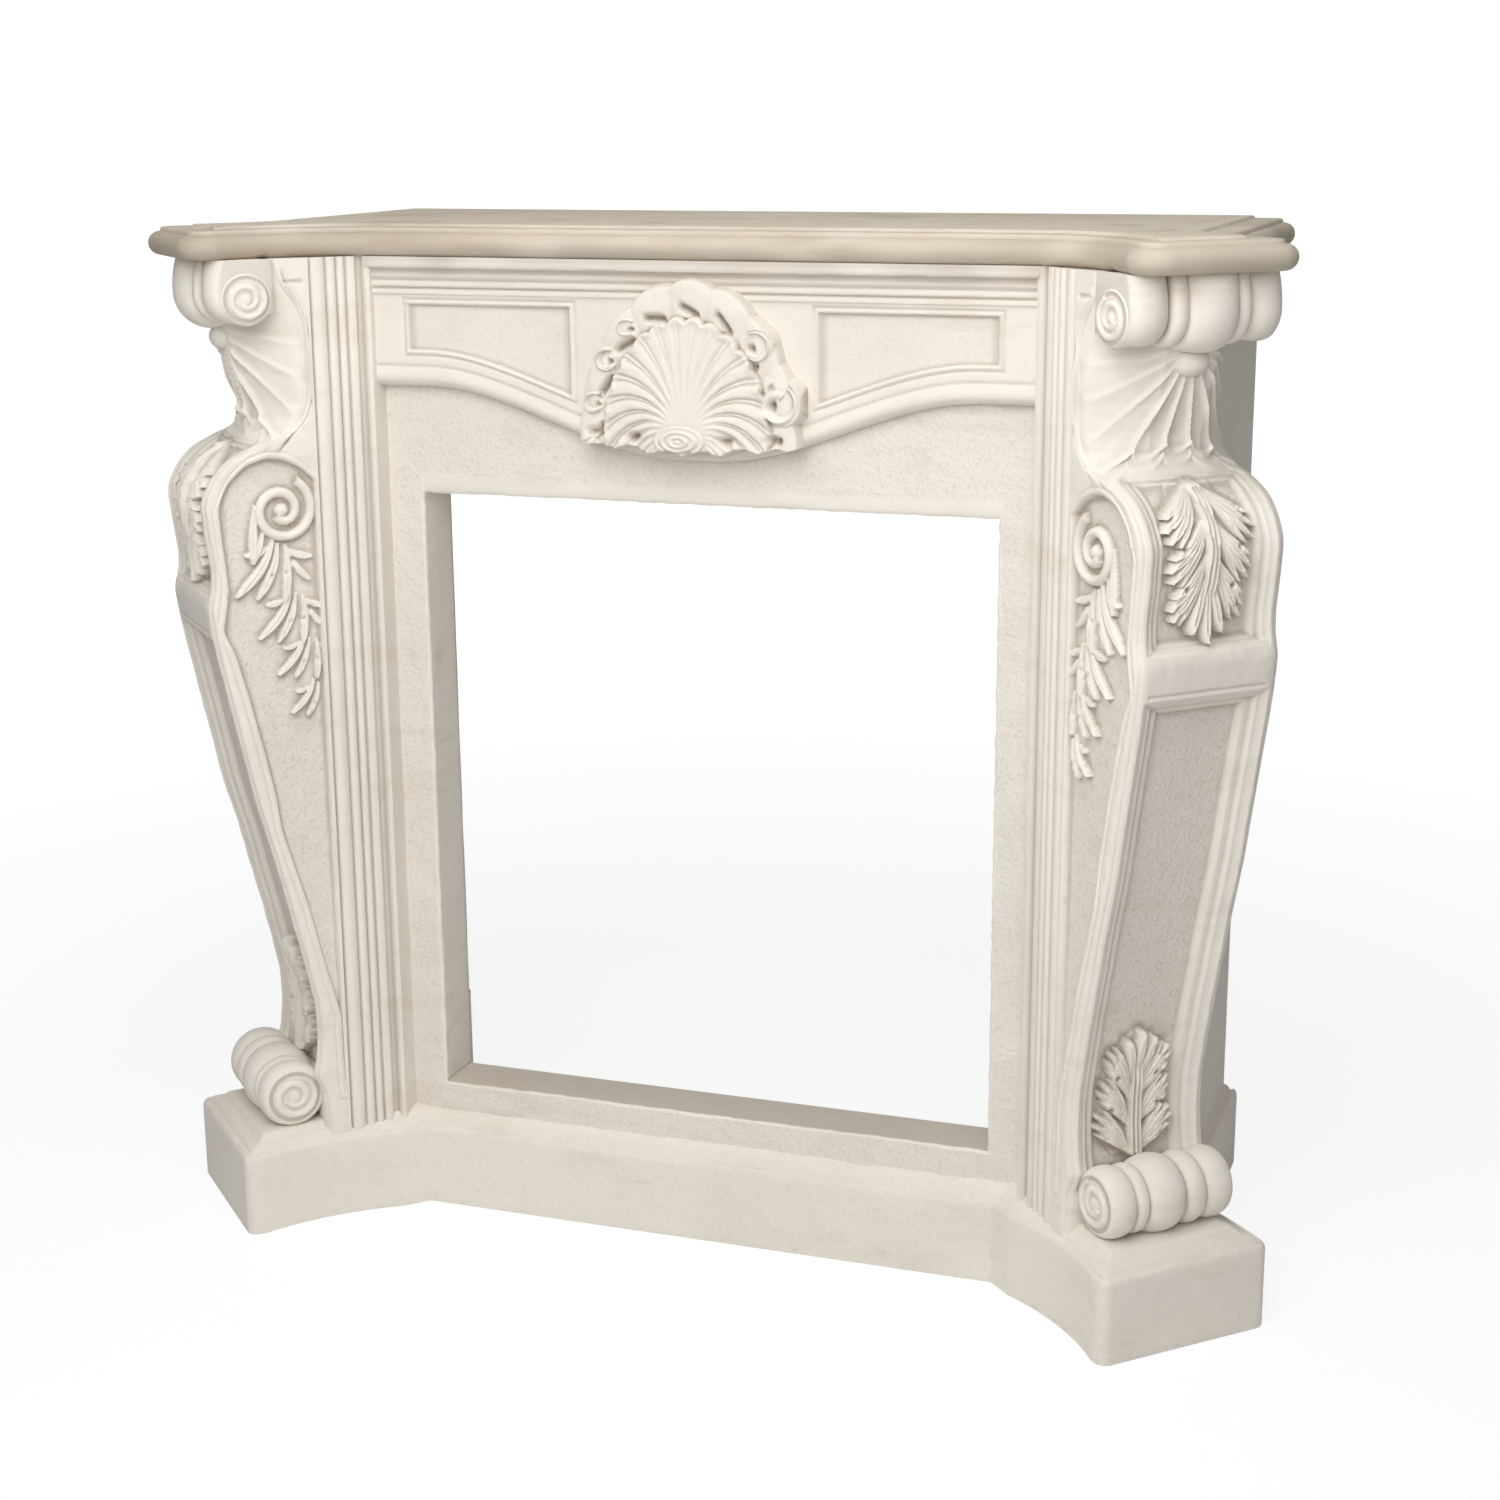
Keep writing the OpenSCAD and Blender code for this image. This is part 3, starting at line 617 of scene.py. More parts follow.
def turned(p, b0, z0, widths, swirl):
    """A roll lying across a leg: a surface of revolution about the line b0, z0, whose radius along the
    leg's width is that of the fattest lobe there, each lobe sagging to its edges as a circle does. A lobe
    is given by its centre, half width, radius and sag. The flat ends carry a spiral that stands out by
    swirl."""
    first = min(c - h for c, h, r, d in widths) + 0.05
    last = max(c + h for c, h, r, d in widths) - 0.05
    v = np.linspace(first, last, 190)
    sag = [np.where(np.abs(v - c) < h, r - d * (1 - crown(v - c, h)), 4) for c, h, r, d in widths]
    radius = np.max(sag, axis=0)
    g = np.linspace(0, 2 * pi, 97)[:-1]
    rim, far_rim = radius[0], radius[-1] / radius[0]
    q = np.linspace(0.02, 0.97, 22)
    x, y = rim * q[:, None] * np.cos(g), rim * q[:, None] * np.sin(g)
    relief = swirl * scroll(x, y, rim * 0.86, rim * 0.26, 1.6, rim * 0.13, 60)
    body = (len(v), len(g))
    A = np.concatenate([first - relief, np.broadcast_to(v[:, None], body), (last + relief)[::-1]])
    R = np.concatenate([rim * q, radius, far_rim * rim * q[::-1]])[:, None]
    B, Z = b0 + R * np.cos(g), z0 + R * np.sin(g)
    P = np.concatenate([on_leg(p, A, B), Z[..., None]], -1)
    field = np.concatenate([relief, np.broadcast_to(radius[:, None], body), relief[::-1]])
    return sheet(P, hollow=hollows(field, 4, 4.0))


def capital_block(p):
    """The capital: side by side lobes that hang straight from the shelf and round under at the bottom.
    Rows run across the leg, columns run down the face, round the bottom and back inside."""
    reach, deepest, above, turn_z, inner, under = 82.4, 38, 1040, 1004.0, 86, 985
    # Each lobe: centre, half width, distance behind the plinth face, sag.
    v = np.linspace(-reach, reach, 230)[:, None]
    rows = ((0, 26.5, 6, 17), (-34, 8, 17, 7), (34, 8, 17, 7), (-62, 20.5, 20, 15), (62, 20.5, 20, 15))
    sag = [np.where(np.abs(v - c) < h, f + d * (1 - crown(v - c, h)), deepest) for c, h, f, d in rows]
    face = np.minimum(np.min(sag, axis=0), deepest)
    r = 36 - 0.55 * (face - 8)
    g = np.radians(np.linspace(0, 112, 30))[None, :]
    down = np.linspace(0, 1, 9)[None, :-1]
    lean = 7 * (1 - down) ** 2
    flat = 0 * face
    b = np.concatenate([face + lean, face + r - r * np.cos(g), inner + flat, inner + flat], 1)
    fall = above + (turn_z - above) * down
    z = np.concatenate([fall + flat, turn_z - r * np.sin(g), under + flat, above + flat], 1)
    z = np.minimum(z, SURROUND_TOP)
    P = np.concatenate([on_leg(p, v + 0 * b, b), z[..., None]], -1)
    return sheet(P, hollow=hollows(-np.broadcast_to(face, b.shape), 5, 5.0))


def ball(p, a, b, z, ra, rb, rz):
    """An ellipsoid on a leg."""
    s = np.radians(np.linspace(-89, 89, 25))[:, None]
    g = np.linspace(0, 2 * pi, 33)[None, :-1]
    return sheet(np.concatenate([on_leg(p, a + ra * np.cos(s) * np.cos(g), b + rb * np.cos(s) * np.sin(g)),
                                 (z + rz * np.sin(s) + 0 * g)[..., None]], -1))


# ---- slab, frieze, base -----------------------------------------------------------------------------
def frieze_edge(x, low, half):
    """Height of the frieze's serpentine lower edge: it rises from low in the middle towards both ends."""
    return low + 66 * ramp(np.abs(x), 20, half - 58)


def slab_ring(p):
    """The inner slab round the fire opening: rows run round the opening, columns go from the back of the
    reveal over its softened arris, across the face and round the back."""
    x0, z0, z1 = mm("opening_w") / 2, mm("sill"), mm("lintel")
    X, Z0, Z1 = p["slab_half"] + 4, mm("base_h") - 10, SURROUND_TOP - 3

    def loop(x, low, high):
        """A rectangle of -x to x by low to high, as points round it."""
        return np.concatenate([line([-x, low], [x, low], 150), line([x, low], [x, high], 160),
                               line([x, high], [-x, high], 150), line([-x, high], [-x, low], 160)])
    inner, outer = loop(x0, z0, z1), loop(X, Z0, Z1)
    face, back, r, band = mm("chamber"), mm("chamber") - mm("slab") + BEHIND, 3.5, 40
    g = np.radians(np.linspace(0, 90, 6))
    # Share of the way out from the opening's edge, and place in depth, of each column.
    t = np.concatenate([
        np.zeros(12), (r - r * np.cos(g)) / band, np.linspace(0.12, 1, 30) ** 1.15, [1, 0.5]])
    y = np.concatenate([
        np.linspace(-back, -face + r, 12), -face + r - r * np.sin(g), np.full(30, -face), [-back, -back]])
    P = np.zeros((len(inner), len(t), 3))
    P[..., 0] = inner[:, None, 0] + (outer - inner)[:, None, 0] * t
    P[..., 2] = inner[:, None, 1] + (outer - inner)[:, None, 1] * t
    P[..., 1] = y
    s = np.arange(len(inner))[:, None] * 4.0
    front = y < -face + 0.1
    worn = ridge(t, 0.14) * (t < 0.9) * ramp(-y, back + 10, back + 45) * 0.9
    u, v = P[..., 0], P[..., 2]
    P[..., 1] += (0.9 * grain(u, v, 34, 3) + 0.5 * grain(u, v, 9, 4)) * front
    P[..., 2] += worn * grain(s, y * 0.4, 7, 5)
    P[..., 0] += worn * grain(s, y * 0.4, 7, 6)
    # Painted shade: the top of the sill inside the opening is coloured darker with the greige.
    sill_painted_shade = np.broadcast_to((y > -face + 2) * 0.85, P.shape[:2]) * (P[..., 2] < z0 + 3)
    return sheet(P, wrap=True, hollow=sill_painted_shade, stipple=front * 0.75)


def frieze_sheet(p):
    """The frieze: rows run along it, columns run up its face from the serpentine edge to the shelf and
    back inside. Its edge is a rounded moulding, the panels either side of the shell are sunk inside a
    fine groove, and fillets and a cove run along the top."""
    top, half, face = SURROUND_TOP, p["slab_half"], mm("chamber")
    x = np.linspace(-half - 3, half + 3, 430)[:, None]
    low = frieze_edge(x, top - FRIEZE_H, half)
    z = low + (top - low) * np.linspace(0, 1, 165)[None, :]
    e, h = z - low, top - z
    # The rounded edge, then a groove above it.
    out = 17.5 * np.sqrt(np.clip(1 - (1 - np.clip(e / 9, 0, 1)) ** 2, 0, 1))
    out = out + 1.4 * ridge(e - 12, 5) - 1.3 * ridge(e - 22, 2.0)
    # The sunk panels, d being the distance inside their outline.
    inner, outer = mm("shell_w") + 12, half - 33
    d = np.minimum(np.minimum(np.abs(x) - inner, outer - np.abs(x)), np.minimum(e - 33, h - 43))
    out = out - 1.6 * ridge(d, 1.5) - 4.2 * ramp(d, 4.5, 6.5) + 0.9 * ridge(d - 3.2, 1.2)
    # The fillets and the cove, by the distance h below the shelf.
    out = out + 2.0 * ramp(h, 39, 37.5) - 2.4 * ridge(h - 32, 1.2)
    out = out + 1.2 * ramp(h, 31, 29) - 1.6 * ridge(h - 24, 1.3)
    cove = 1 - np.sqrt(np.clip(1 - np.clip((19 - h) / 8, 0, 1) ** 2, 0, 1))
    out = out + 1.6 * ramp(h, 22, 20) + 6.5 * cove + 1.2 * ridge(h - 8, 3)
    out = out + 0.35 * grain(x + 0 * z, z, 22, 11)
    X = np.broadcast_to(x, z.shape)
    backs = np.concatenate([X[:, :1], X[:, :1]], 1)
    P = np.stack([np.concatenate([X, backs], 1),
                  np.concatenate([-(face + out), np.full(backs.shape, -face + 4)], 1),
                  np.concatenate([z, top + 0 * x, low], 1)], -1)
    pad = lambda f: np.concatenate([f, np.zeros(backs.shape)], 1)
    # Painted shade: a flat darker tone over the whole frieze, and a deeper band over its top 26 mm under
    # the shelf, added to the wash in its recesses.
    shade = 0.16 + 0.4 * ramp(26 - h, 0, 10) * (1 + 0.6 * grain(x + 0 * h, h, 45, 12))
    return sheet(P, hollow=pad(np.clip(hollows(out) + shade, 0, 1)), stipple=pad(0.4 * ramp(d, 6, 9)))


def shell_border(x, z, r, g, wide, high):
    """The shell's border as four fields over its face, with r and g its polar terms: the height of a
    ruffle of lobes that rolls over outside the body with slanting pits in its folds, the discs of the
    curls on it, the height of those curls, each a scroll with fine ribs, and the depth of their drilled
    eyes."""
    fold = np.abs(np.sin(pi * (g + 9) / 23))
    outer = 1.0 + 0.035 * fold ** 0.7
    band = 14 + 12 * crown(r - 0.89, 0.155) * (0.74 + 0.26 * fold)
    band = band * ramp(outer - r, 0, 0.035) * ramp(r - 0.74, 0, 0.03)
    slant = 0.815 + 0.04 * np.cos(pi * (g + 9) / 23) * np.sign(np.sin(pi * (g + 9) / 23))
    pits = 15 * ridge(r - slant, 0.024) * ramp(fold, 0.5, 0.9) * (r > 0.7)
    ruffle, disc, eyes = (np.zeros_like(r) for _ in range(3))
    # Each curl: side, bearing from the hinge, size, angle it starts at, turns.
    curls = ((1, 47, 17, 120, 1), (1, 74, 22, 60, 1), (1, 99, 18, 50, 1), (-1, 38, 11, 130, 0.8),
             (-1, 56, 13, 120, 1), (-1, 76, 12, 120, 0.9), (-1, 95, 14, 110, 1))
    for side, bearing, size, start, turns in curls:
        u = side * (x - side * sin(radians(bearing)) * wide * 0.88)
        v = z - cos(radians(bearing)) * high * 0.88
        far = np.hypot(u, v)
        spot = ramp(size * 1.3 - far, 0, 5)
        disc = np.maximum(disc, spot)
        ruffle = np.maximum(ruffle, scroll(u, v, size, size * 0.36, turns, size * 0.27, start, False))
        ribs = 0.16 * np.cos(far * 24 / size) * ramp(far, size * 0.5, size * 0.8)
        ruffle = ruffle + np.where(disc > 0, ribs * spot, 0)
        eyes = eyes + np.exp(-((u + size * 0.36) ** 2 + (v + size * 0.1) ** 2) / (size * 0.24) ** 2)
    return band - pits, disc, 10 * ruffle * disc, 10 * np.minimum(eyes, 1) * disc


def shell_sheet(p):
    """The shell over the middle of the frieze. In polar terms about the hinge: the body is a dome that
    falls towards the rim, flutes fan out and curve towards the sides, the rim rolls over into a ruffled
    border, and the hinge is a ridged oval boss. Outside its outline it sinks into the frieze."""
    top = SURROUND_TOP
    hinge = top - FRIEZE_H + 26
    wide, high = mm("shell_w"), mm("shell_h")
    x = np.linspace(-wide - 6, wide + 6, 250)[:, None]
    foot = frieze_edge(x, top - FRIEZE_H, p["slab_half"]) + 2
    z = foot + (hinge + high + 6 - foot) * np.linspace(0, 1, 215)[None, :]
    up = z - hinge
    dx, dz = x / wide, up / high
    r = np.hypot(dx, dz)
    g = np.degrees(np.arctan2(dx, dz))
    # The body: q counts the flutes and f runs across one.
    q = g / (46 + 56 * np.clip(r, 0, 1) ** 1.2) * 6.5
    f = q - np.floor(q)
    edge = 0.765 + 0.03 * np.sin(pi * f)
    wide_open = 1 + 0.7 * ramp(np.abs(g), 20, 60)
    lines = ridge(f - 0.38, 0.09) + ridge(f - 0.62, 0.09) + 0.4 * ridge(f - 0.5, 0.3)
    quiet = 0.55 + 0.45 * ramp(np.abs(g + 6), 12, 42)
    body = 36 - 11 * np.clip(r, 0, 1) ** 1.7 - 2.0 * wide_open * quiet * lines * ramp(r, 0.12, 0.5)
    body = (body + 2.2 * ridge(r - edge + 0.03, 0.03)) * ramp(edge - r, -0.02, 0.03)
    band, disc, ruffle, eyes = shell_border(x, up, r, g, wide, high)
    out = np.maximum(np.maximum(body, band), disc * 19 + ruffle) - eyes
    out = out + 0.5 * grain(x + 0 * z, z + 0 * x, 9, 61)
    # Drilled hollows beside the hinge, the boss over it, and the ragged lower edge.
    for cx, cz in ((-55, 1), (44, 0), (90, 1), (-98, 4)):
        out = out - 15 * np.exp(-(((x - cx) / 7) ** 2 + ((up - cz) / 4.5) ** 2))
    near = np.hypot((x + 4) / 27, (up + 1) / 15)
    boss = 34 + 9 * crown(near, 1) + 1.5 * np.cos(near * 20)
    out = np.where(near < 1, np.maximum(out, boss), out)
    for cx in (-15, 5, 24):
        out = out - 12 * np.exp(-((x - cx) ** 2 + (up + 15) ** 2) / 12)
    low = hinge - 17 + 4.5 * np.abs(np.sin(x / 12)) + 4 * ramp(np.abs(x), 30, 60)
    inside = ramp(z, low - 3, low + 2) * ramp(out, 0.5, 3)
    out = out * inside - 11 * (1 - inside)
    face = mm("chamber") + 14
    X, Z = np.broadcast_to(x, out.shape), np.broadcast_to(z, out.shape)
    ends = [-1, 0]
    back = np.stack([X[:, ends], np.full((len(x), 2), 2 - face + 10.0), Z[:, ends]], -1)
    P = np.concatenate([np.stack([X, -(face + out * 0.92), Z], -1), back], 1)
    # Greige wash in the recesses of the carving, over a flat painted shade that darkens the whole shell a
    # little.
    shell_patina_and_painted_shade = np.clip(0.12 + hollows(out, 5, 4.5), 0, 1)
    return sheet(P, hollow=np.concatenate([shell_patina_and_painted_shade, np.zeros((len(x), 2))], 1))


def base_band(p):
    """The base: rows follow its plan from one wall end round the front to the other, columns go up the
    outer face, over the rounded edge, the fine bead and the weathering slope, and down inside the
    chamber."""
    rise = mm("base_h")
    profile = [(0.6, 0), (0, 2), (0, 12), (0, 30), (0, 50), (0, 70), (0, 82), (0.3, 85.6), (1.2, 88.4),
               (2.8, 90.3), (4.8, 91.0), (6.4, 90.2), (7.4, 89.6), (8.4, 90.0), (9.6, 92.2), (11.2, 94.0),
               (13.6, 95.4), (17, 96.4), (20, 97.0), (22, 98.2), (24.5, 101), (26.5, rise - 1), (29, rise)]
    path = np.stack([both_sides(base_half(p, d)) for d, _ in profile])
    edge = path[0]
    right = edge[path.shape[1] // 2:]
    inner_x, inner_y = p["return_x"] - mm("return_t"), -(mm("chamber") - mm("slab"))
    steps = run_along(right)
    marks = [0, steps[70], steps[-41], steps[-1]]  # the end of the front and the start of the return
    s = np.interp(steps, marks, [0, right[70, 0], inner_x + 50, inner_x - inner_y])
    inner = both_sides(np.stack([np.minimum(s, inner_x), inner_y + np.maximum(s - inner_x, 0)], -1))
    xy = np.concatenate([path, inner[None], inner[None]])
    z = np.array([h for _, h in profile] + [rise, 0.0])
    P = np.concatenate([xy, np.broadcast_to(z[:, None, None], xy.shape[:2] + (1,))], -1)
    P = P.transpose(1, 0, 2).copy()
    outer = np.arange(P.shape[1]) < len(profile)
    near = ridge(z - 86, 16)[None, :] * outer
    chips = np.clip(grain(run_along(edge)[:, None], z[None, :] * 0.2, 26, 21) - 0.35, 0, 1)
    P[..., 2] = np.maximum(P[..., 2] - chips * 4.0 * near, 0)
    return sheet(P, stipple=0.35 * outer)


def run_along(path):
    """Distance along a path at each of its points."""
    return np.concatenate([[0], np.cumsum(np.hypot(*np.diff(path, axis=0).T))])


def return_wall(p, side):
    """A side return: a plain wall with softened edges, rows up its height and columns round its plan."""
    x1, x0, y0 = p["return_x"], p["return_x"] - mm("return_t") + BEHIND, -(p["return_y"] + 22)
    loop = np.concatenate([
        line([x1, y0], [x1, -4], 30), arc([x1 - 3, -4], 3, 0, 90, 4), line([x1 - 3, -1], [x0 + 1, -1], 5),
        line([x0, -2], [x0, y0], 30), line([x0, y0], [x1, y0], 4)])
    z = np.linspace(mm("base_h") - 12, SURROUND_TOP, 60)
    P = np.zeros((len(z), len(loop), 3))
    P[..., :2] = loop * [side, 1]
    P[..., 2] = z[:, None]
    P[..., 0] += side * 0.35 * grain(P[..., 1], P[..., 2], 40, 31)
    P[..., 0] = np.clip(P[..., 0], -x1, x1)
    return sheet(P)


def shelf_sheet(p):
    """The shelf: rows follow drawn-in outlines, from the underside round the torus edge, over the fillet
    to the stepped top; columns run round the plan. The two end rows are closed flat."""
    base, top, r = SURROUND_TOP, SHELF_TOP, 12.0
    g = np.radians(np.linspace(-90, 90, 19))
    # The fillet and the groove behind the torus: how far drawn in, how far above the underside.
    steps = np.array([
        (12.6, 24.8), (13.4, 27), (14.6, 28.1), (18, 28.4), (28, 28.4), (38, 28.3), (41, 27.9),
        (42.2, 28.6), (43.2, 30.2)])
    drawn = np.concatenate([[60, 22], r - r * np.cos(g), steps[:, 0], [44.6, 48, 58, 66, 67.2, 68.4, 72]])
    flat = [top, top, top, top, top - 0.7, top, top]
    z = np.concatenate([[base, base], base + r + r * np.sin(g), base + steps[:, 1], flat])
    rows = [both_sides(shelf_half(p, d)) for d in drawn]
    P = np.stack([np.concatenate([q, np.full((len(q), 1), h)], 1) for q, h in zip(rows, z)])
    along = run_along(rows[2])[None, :]
    edge = (drawn < 13)[:, None]
    z = z[:, None]
    P[..., 2] += 0.5 * grain(along + 0 * P[..., 2], z * 0.5, 40, 41) * edge * crown(z - base - r, r)
    P[..., 2] = np.clip(P[..., 2], base, top)
    fine = (drawn < 45)[:, None] & (z < top - 0.1)
    mottle = grain(along, z * 4, 55, 42)
    stain = edge * np.clip(0.72 + 0.4 * mottle, 0.3, 1) + (fine & ~edge) * np.clip(0.3 + 0.3 * mottle, 0, 1)
    # The torus edge is also coloured darker towards the shelf's left end.
    return sheet(P, hollow=np.clip(stain + 0.28 * edge * ramp(-P[..., 0], 150, 450), 0, 1))


# ---- materials --------------------------------------------------------------------------------------
def add(tree, kind, links=(), **settings):
    """Adds a node with its settings, then links each (input, source socket) pair."""
    node = tree.nodes.new("ShaderNode" + kind)
    for key, value in settings.items():
        if key.startswith("in_"):
            node.inputs[int(key[3:])].default_value = value
        else:
            setattr(node, key, value)
    for socket, source in links:
        tree.links.new(source, node.inputs[socket])
    return node


def blank_tree(owner):
    """The emptied node tree of a material or a world."""
    owner.use_nodes = True
    owner.node_tree.nodes.clear()
    return owner.node_tree


def cast_stone(name, face, washes):
    """Cast stone: a cement and fine marble-dust casting, washed with thin colour that stays in the
    hollows. To the eye it is matt, with a fine sandy grit, sunk grounds that look stippled with a
    bristle, soft cloudy changes of tone, and a greige wash in every recess. The same greige also serves
    as painted shade on the sill, under the shelf and as a flat darker tone over the frieze and shell.
    Each wash gives its colour, the scale of its drifts, the level they start at and its strength."""
    grit, bristle = 0.0011, 0.0038  # metres; drawn coarser than they are, so that they show
    colours = bpy.context.scene.mantel_colours
    paint = lambda c: (*getattr(colours, c), 1.0)
    mat = bpy.data.materials.new(name)
    tree = blank_tree(mat)
    where = add(tree, "TexCoord").outputs["Object"]
    hollow = add(tree, "Attribute", attribute_name="hollow").outputs["Fac"]
    stippled = add(tree, "Attribute", attribute_name="stipple").outputs["Fac"]
    cloud = add(tree, "TexNoise", [("Vector", where)], in_2=5.0, in_3=4.0, in_4=0.6)
    patch = add(tree, "MapRange", [(0, cloud.outputs["Fac"])], in_1=0.42, in_2=0.66)
    soft = add(tree, "Math", [(0, patch.outputs[0])], operation="MULTIPLY", in_1=0.28)
    tone = add(
        tree, "Mix", [(0, soft.outputs[0])], data_type="RGBA", in_6=paint(face), in_7=paint("ground"))
    layers = []
    for label, scale, low, share in washes:
        along = add(tree, "VectorMath", [(0, where)], operation="MULTIPLY", in_1=(1.0, 1.0, 4.0))
        drift = add(tree, "TexNoise", [("Vector", along.outputs[0])], in_2=scale, in_3=4.0, in_4=0.6)
        fac = drift.outputs["Fac"]
        zone = add(tree, "MapRange", [(0, fac)], in_1=low, in_2=low + 0.16, in_3=0.0, in_4=share)
        layers.append((zone, label))
    dull = add(tree, "Math", [(0, stippled)], operation="MULTIPLY", in_1=0.3)
    speck = add(tree, "TexNoise", [("Vector", where)], in_2=1 / bristle, in_3=3.0, in_4=0.65)
    dots = add(tree, "MapRange", [(0, speck.outputs["Fac"])], in_1=0.54, in_2=0.72, in_3=0.0, in_4=0.34)
    spread = add(tree, "Math", [(0, stippled)], operation="MULTIPLY_ADD", in_1=0.8, in_2=0.2)
    specks = add(tree, "Math", [(0, dots.outputs[0]), (1, spread.outputs[0])], operation="MULTIPLY")
    # Mixes in the greige wherever the pieces mark a wash in the recesses or painted shade.
    deep = add(tree, "Math", [(0, hollow)], operation="MULTIPLY", in_1=0.6, use_clamp=True)
    coat = tone.outputs[2]
    for share, label in layers + [(dull, "ground"), (specks, "hollow"), (deep, "hollow")]:
        mixed = add(tree, "Mix", [(0, share.outputs[0]), (6, coat)], data_type="RGBA", in_7=paint(label))
        coat = mixed.outputs[2]
    sand = add(tree, "TexNoise", [("Vector", where)], in_2=1 / grit / 2, in_3=2.0)
    brushed = add(tree, "TexNoise", [("Vector", where)], in_2=1 / bristle, in_3=3.0, in_4=0.6)
    sandy = add(tree, "Bump", [("Height", sand.outputs["Fac"])], in_0=0.22, in_1=0.0006)
    amount = add(tree, "Math", [(0, stippled)], operation="MULTIPLY_ADD", in_1=0.5, in_2=0.07)
    rough = add(tree, "Bump", [("Height", brushed.outputs["Fac"]), ("Strength", amount.outputs[0]),
                               ("Normal", sandy.outputs["Normal"])], in_1=0.0042)
    surface = add(tree, "BsdfPrincipled", [("Base Color", coat), ("Normal", rough.outputs["Normal"])])
    surface.inputs["Roughness"].default_value = 0.78
    surface.inputs["IOR"].default_value = 1.5
    surface.inputs["Specular IOR Level"].default_value = 0.3
    add(tree, "OutputMaterial", [("Surface", surface.outputs[0])])
    return mat


def finish_for(kind):
    """The material of the surround or of the shelf, made once."""
    name, face, washes = {
        "surround": ("cast_stone_off_white", "body",
                     [("beige", 6.0, 0.56, 0.4), ("rose", 8.0, 0.62, 0.3), ("moss", 7.0, 0.63, 0.22)]),
        "shelf": ("cast_stone_beige_washed", "beige",
                  [("rose", 7.0, 0.52, 0.75), ("moss", 9.0, 0.55, 0.55), ("body", 4.0, 0.56, 0.35)]),
    }[kind]
    return bpy.data.materials.get(name) or cast_stone(name, face, washes)


# ---- operators --------------------------------------------------------------------------------------
class MANTEL_OT_legs(bpy.types.Operator):
    """Build both canted legs, with their reeds, panels, scrolls, feet and capitals"""
    bl_idname = "mantel.legs"
    bl_label = "Legs"

    def execute(self, context):
        p = plan()
        stone = finish_for("surround")
        skin = thin(piece("leg_right", [leg_skin(p)], stone), LEG_TRIANGLES)
        foot_lobes = [
            (-52, 15, 36.5, 8), (-30, 6, 35, 3), (-1, 21, 39.5, 10), (33, 11, 37, 7), (61, 16, 36.5, 9)]
        foot = turned(p, 66, 139, foot_lobes, 3.0)
        volutes = turned(p, 59, 1000, [(-74, 9.5, 27, 3), (74, 9.5, 27, 3)], 2.8)
        bead = ball(p, 0, 52, 958, 18, 12, 13)
        sheets = [foot, capital_block(p), volutes, bead]
        head = piece("capital_and_foot_right", sheets, stone)
        for right in (skin, head):
            name = right.name.replace("right", "left")
            left = place(name, mirrored(right.data), stone)
            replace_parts(right, "surround")
            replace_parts(left, "surround")
        return {"FINISHED"}


class MANTEL_OT_frieze(bpy.types.Operator):
    """Build the inner slab, the frieze and its shell"""
    bl_idname = "mantel.frieze"
    bl_label = "Slab and frieze"

    def execute(self, context):
        p = plan()
        stone = finish_for("surround")
        for name, made in (("hearth_slab", slab_ring), ("frieze", frieze_sheet), ("shell", shell_sheet)):
            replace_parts(piece(name, [made(p)], stone), "surround")
        return {"FINISHED"}


class MANTEL_OT_base(bpy.types.Operator):
    """Build the base with its canted plinths, and the side returns"""
    bl_idname = "mantel.base"
    bl_label = "Base and returns"

    def execute(self, context):
        p = plan()
        stone = finish_for("surround")
        walls = [return_wall(p, 1), return_wall(p, -1)]
        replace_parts(piece("base", [base_band(p)], stone), "surround")
        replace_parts(piece("side_returns", walls, stone), "surround")
        return {"FINISHED"}


class MANTEL_OT_shelf(bpy.types.Operator):
    """Build the moulded shelf"""
    bl_idname = "mantel.shelf"
    bl_label = "Shelf"

    def execute(self, context):
        shelf = piece("moulded_shelf", [shelf_sheet(plan())], finish_for("shelf"), 40)
        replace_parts(shelf, "mantel_shelf")
        return {"FINISHED"}


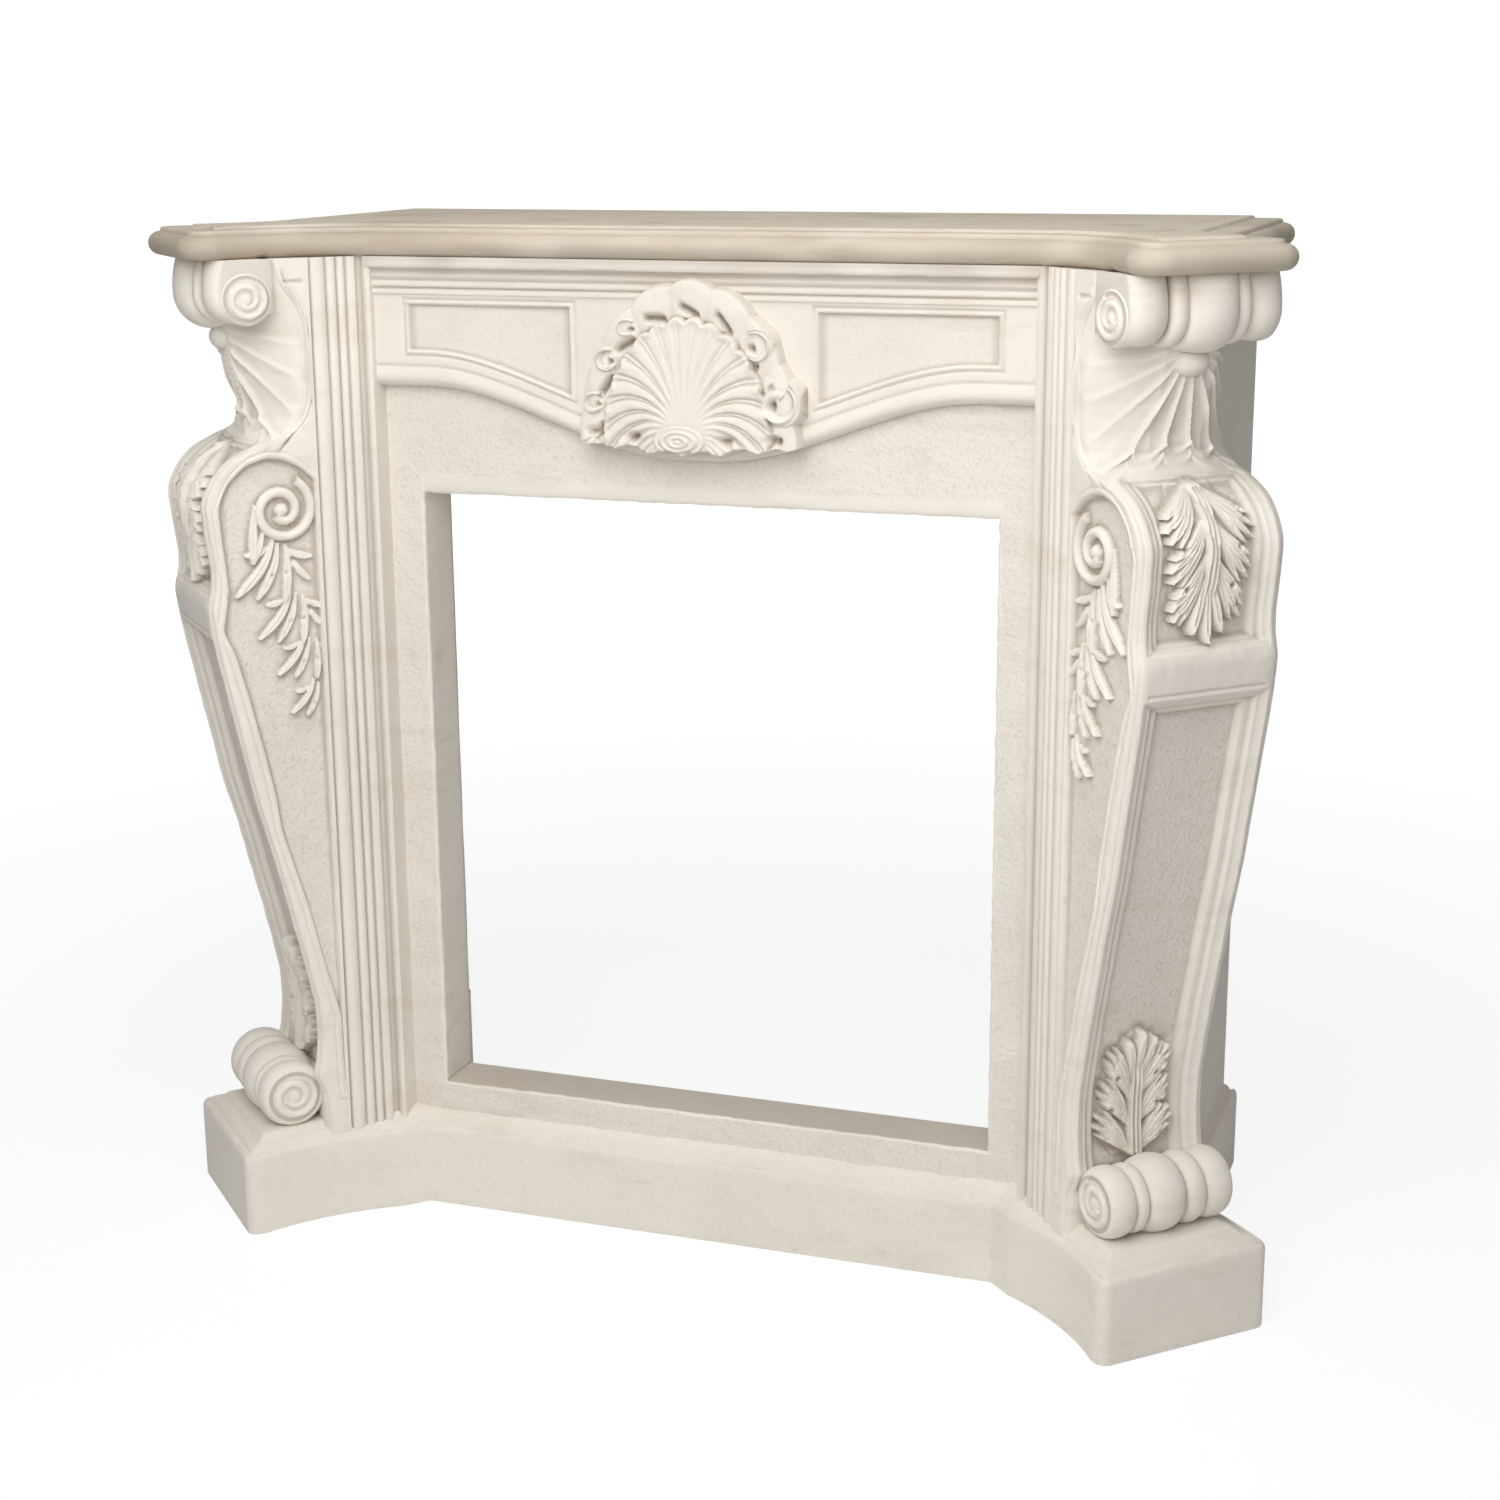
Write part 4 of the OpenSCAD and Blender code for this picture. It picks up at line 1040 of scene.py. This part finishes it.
class MANTEL_OT_stage(bpy.types.Operator):
    """Set up the floor, the lights and the camera"""
    bl_idname = "mantel.stage"
    bl_label = "Stage"

    def execute(self, context):
        context.scene.view_settings.view_transform = "Standard"
        self.floor()
        self.sky(context.scene)
        self.lamp("key", (0.27, -1.68, 1.76), 27.5)
        self.lamp("top", (0.2, -0.6, 3.0), 15)
        self.lamp("side", (-1.9, -2.6, 2.7), 5)
        self.lamp("fill", (2.6, -2.4, 1.6), 3)
        self.camera(context.scene)
        return {"FINISHED"}

    def floor(self):
        """A wide floor of matt paper. The camera sees it lit almost to white, less so near the mantel,
        where it keeps a faint shadow."""
        s = 30.0
        mesh = bpy.data.meshes.new("floor")
        mesh.from_pydata([(-s, -s, 0), (s, -s, 0), (s, s, 0), (-s, s, 0)], [], [(0, 1, 2, 3)])
        floor = bpy.data.objects.new("floor", mesh)
        bpy.context.collection.objects.link(floor)
        mat = bpy.data.materials.new("studio_paper")
        tree = blank_tree(mat)
        ray = add(tree, "LightPath").outputs["Is Camera Ray"]
        paper = add(tree, "BsdfDiffuse", in_0=(0.9, 0.9, 0.9, 1))
        lit = add(tree, "Emission", in_1=1.06)
        where = add(tree, "TexCoord").outputs["Object"]
        away = add(tree, "VectorMath", [(0, where)], operation="LENGTH").outputs["Value"]
        fade = add(tree, "MapRange", [(0, away)], in_1=0.9, in_2=3.0, in_3=0.8, in_4=1.0)
        share = add(tree, "Math", [(0, ray), (1, fade.outputs[0])], operation="MULTIPLY")
        mixed = add(tree, "MixShader", [(0, share.outputs[0]), (1, paper.outputs[0]), (2, lit.outputs[0])])
        add(tree, "OutputMaterial", [("Surface", mixed.outputs[0])])
        mesh.materials.append(mat)

    def sky(self, scene):
        """A world that the camera sees as white and that lights the mantel at under a quarter of that."""
        scene.world = bpy.data.worlds.new("studio")
        tree = blank_tree(scene.world)
        ray = add(tree, "LightPath").outputs["Is Camera Ray"]
        seen = add(tree, "MapRange", [(0, ray)], in_1=0.0, in_2=1.0, in_3=0.23, in_4=1.0)
        white = add(tree, "Background", [("Strength", seen.outputs[0])], in_0=(1, 1, 1, 1))
        add(tree, "OutputWorld", [("Surface", white.outputs[0])])

    def lamp(self, name, spot, power, size=1.4, aim=(0.0, 0.0, 0.6)):
        """A square soft box at spot, facing aim, in watts and metres."""
        data = bpy.data.lights.new(name, "AREA")
        data.energy, data.size = power, size
        lamp = bpy.data.objects.new(name, data)
        lamp.location = spot
        lamp.visible_camera = False
        lamp.rotation_euler = (Vector(aim) - Vector(spot)).to_track_quat("-Z", "Y").to_euler()
        bpy.context.collection.objects.link(lamp)

    def camera(self, scene):
        """A short telephoto view from the front right, a little above the shelf."""
        swing, dip, tilt = 19.24, 15.01, -0.36  # degrees to the left, down, and about the line of sight
        data = bpy.data.cameras.new("view")
        data.lens, data.sensor_width = 60.6, 36.0
        data.shift_x, data.shift_y = -0.004, 0.02
        cam = bpy.data.objects.new("view", data)
        turn = (Matrix.Rotation(radians(swing), 4, "Z") @ Matrix.Rotation(radians(90 - dip), 4, "X")
                @ Matrix.Rotation(radians(tilt), 4, "Z"))
        cam.matrix_world = Matrix.Translation((0.886, -2.735 + WALL * MM, 1.187)) @ turn
        bpy.context.collection.objects.link(cam)
        scene.camera = cam


class MANTEL_PT_panel(bpy.types.Panel):
    """Buttons that build the mantel"""
    bl_label = "Mantel"
    bl_idname = "MANTEL_PT_panel"
    bl_space_type = "VIEW_3D"
    bl_region_type = "UI"
    bl_category = "Mantel"

    def draw(self, context):
        for step in STEPS:
            self.layout.operator(step.bl_idname)
        for group in (context.scene.mantel_sizes, context.scene.mantel_colours):
            for name in group.bl_rna.properties.keys():
                if name not in ("rna_type", "name"):
                    self.layout.prop(group, name)


STEPS = (MANTEL_OT_legs, MANTEL_OT_frieze, MANTEL_OT_base, MANTEL_OT_shelf, MANTEL_OT_stage)
CLASSES = (MantelSizes, MantelColours, *STEPS, MANTEL_PT_panel)


def register():
    for cls in CLASSES:
        bpy.utils.register_class(cls)
    bpy.types.Scene.mantel_sizes = bpy.props.PointerProperty(type=MantelSizes)
    bpy.types.Scene.mantel_colours = bpy.props.PointerProperty(type=MantelColours)


def unregister():
    del bpy.types.Scene.mantel_sizes
    del bpy.types.Scene.mantel_colours
    for cls in reversed(CLASSES):
        bpy.utils.unregister_class(cls)


def main():
    """Registers the classes and builds every piece in order."""
    register()
    bpy.ops.mantel.legs()
    bpy.ops.mantel.frieze()
    bpy.ops.mantel.base()
    bpy.ops.mantel.shelf()
    bpy.ops.mantel.stage()


if __name__ == "__main__":
    main()
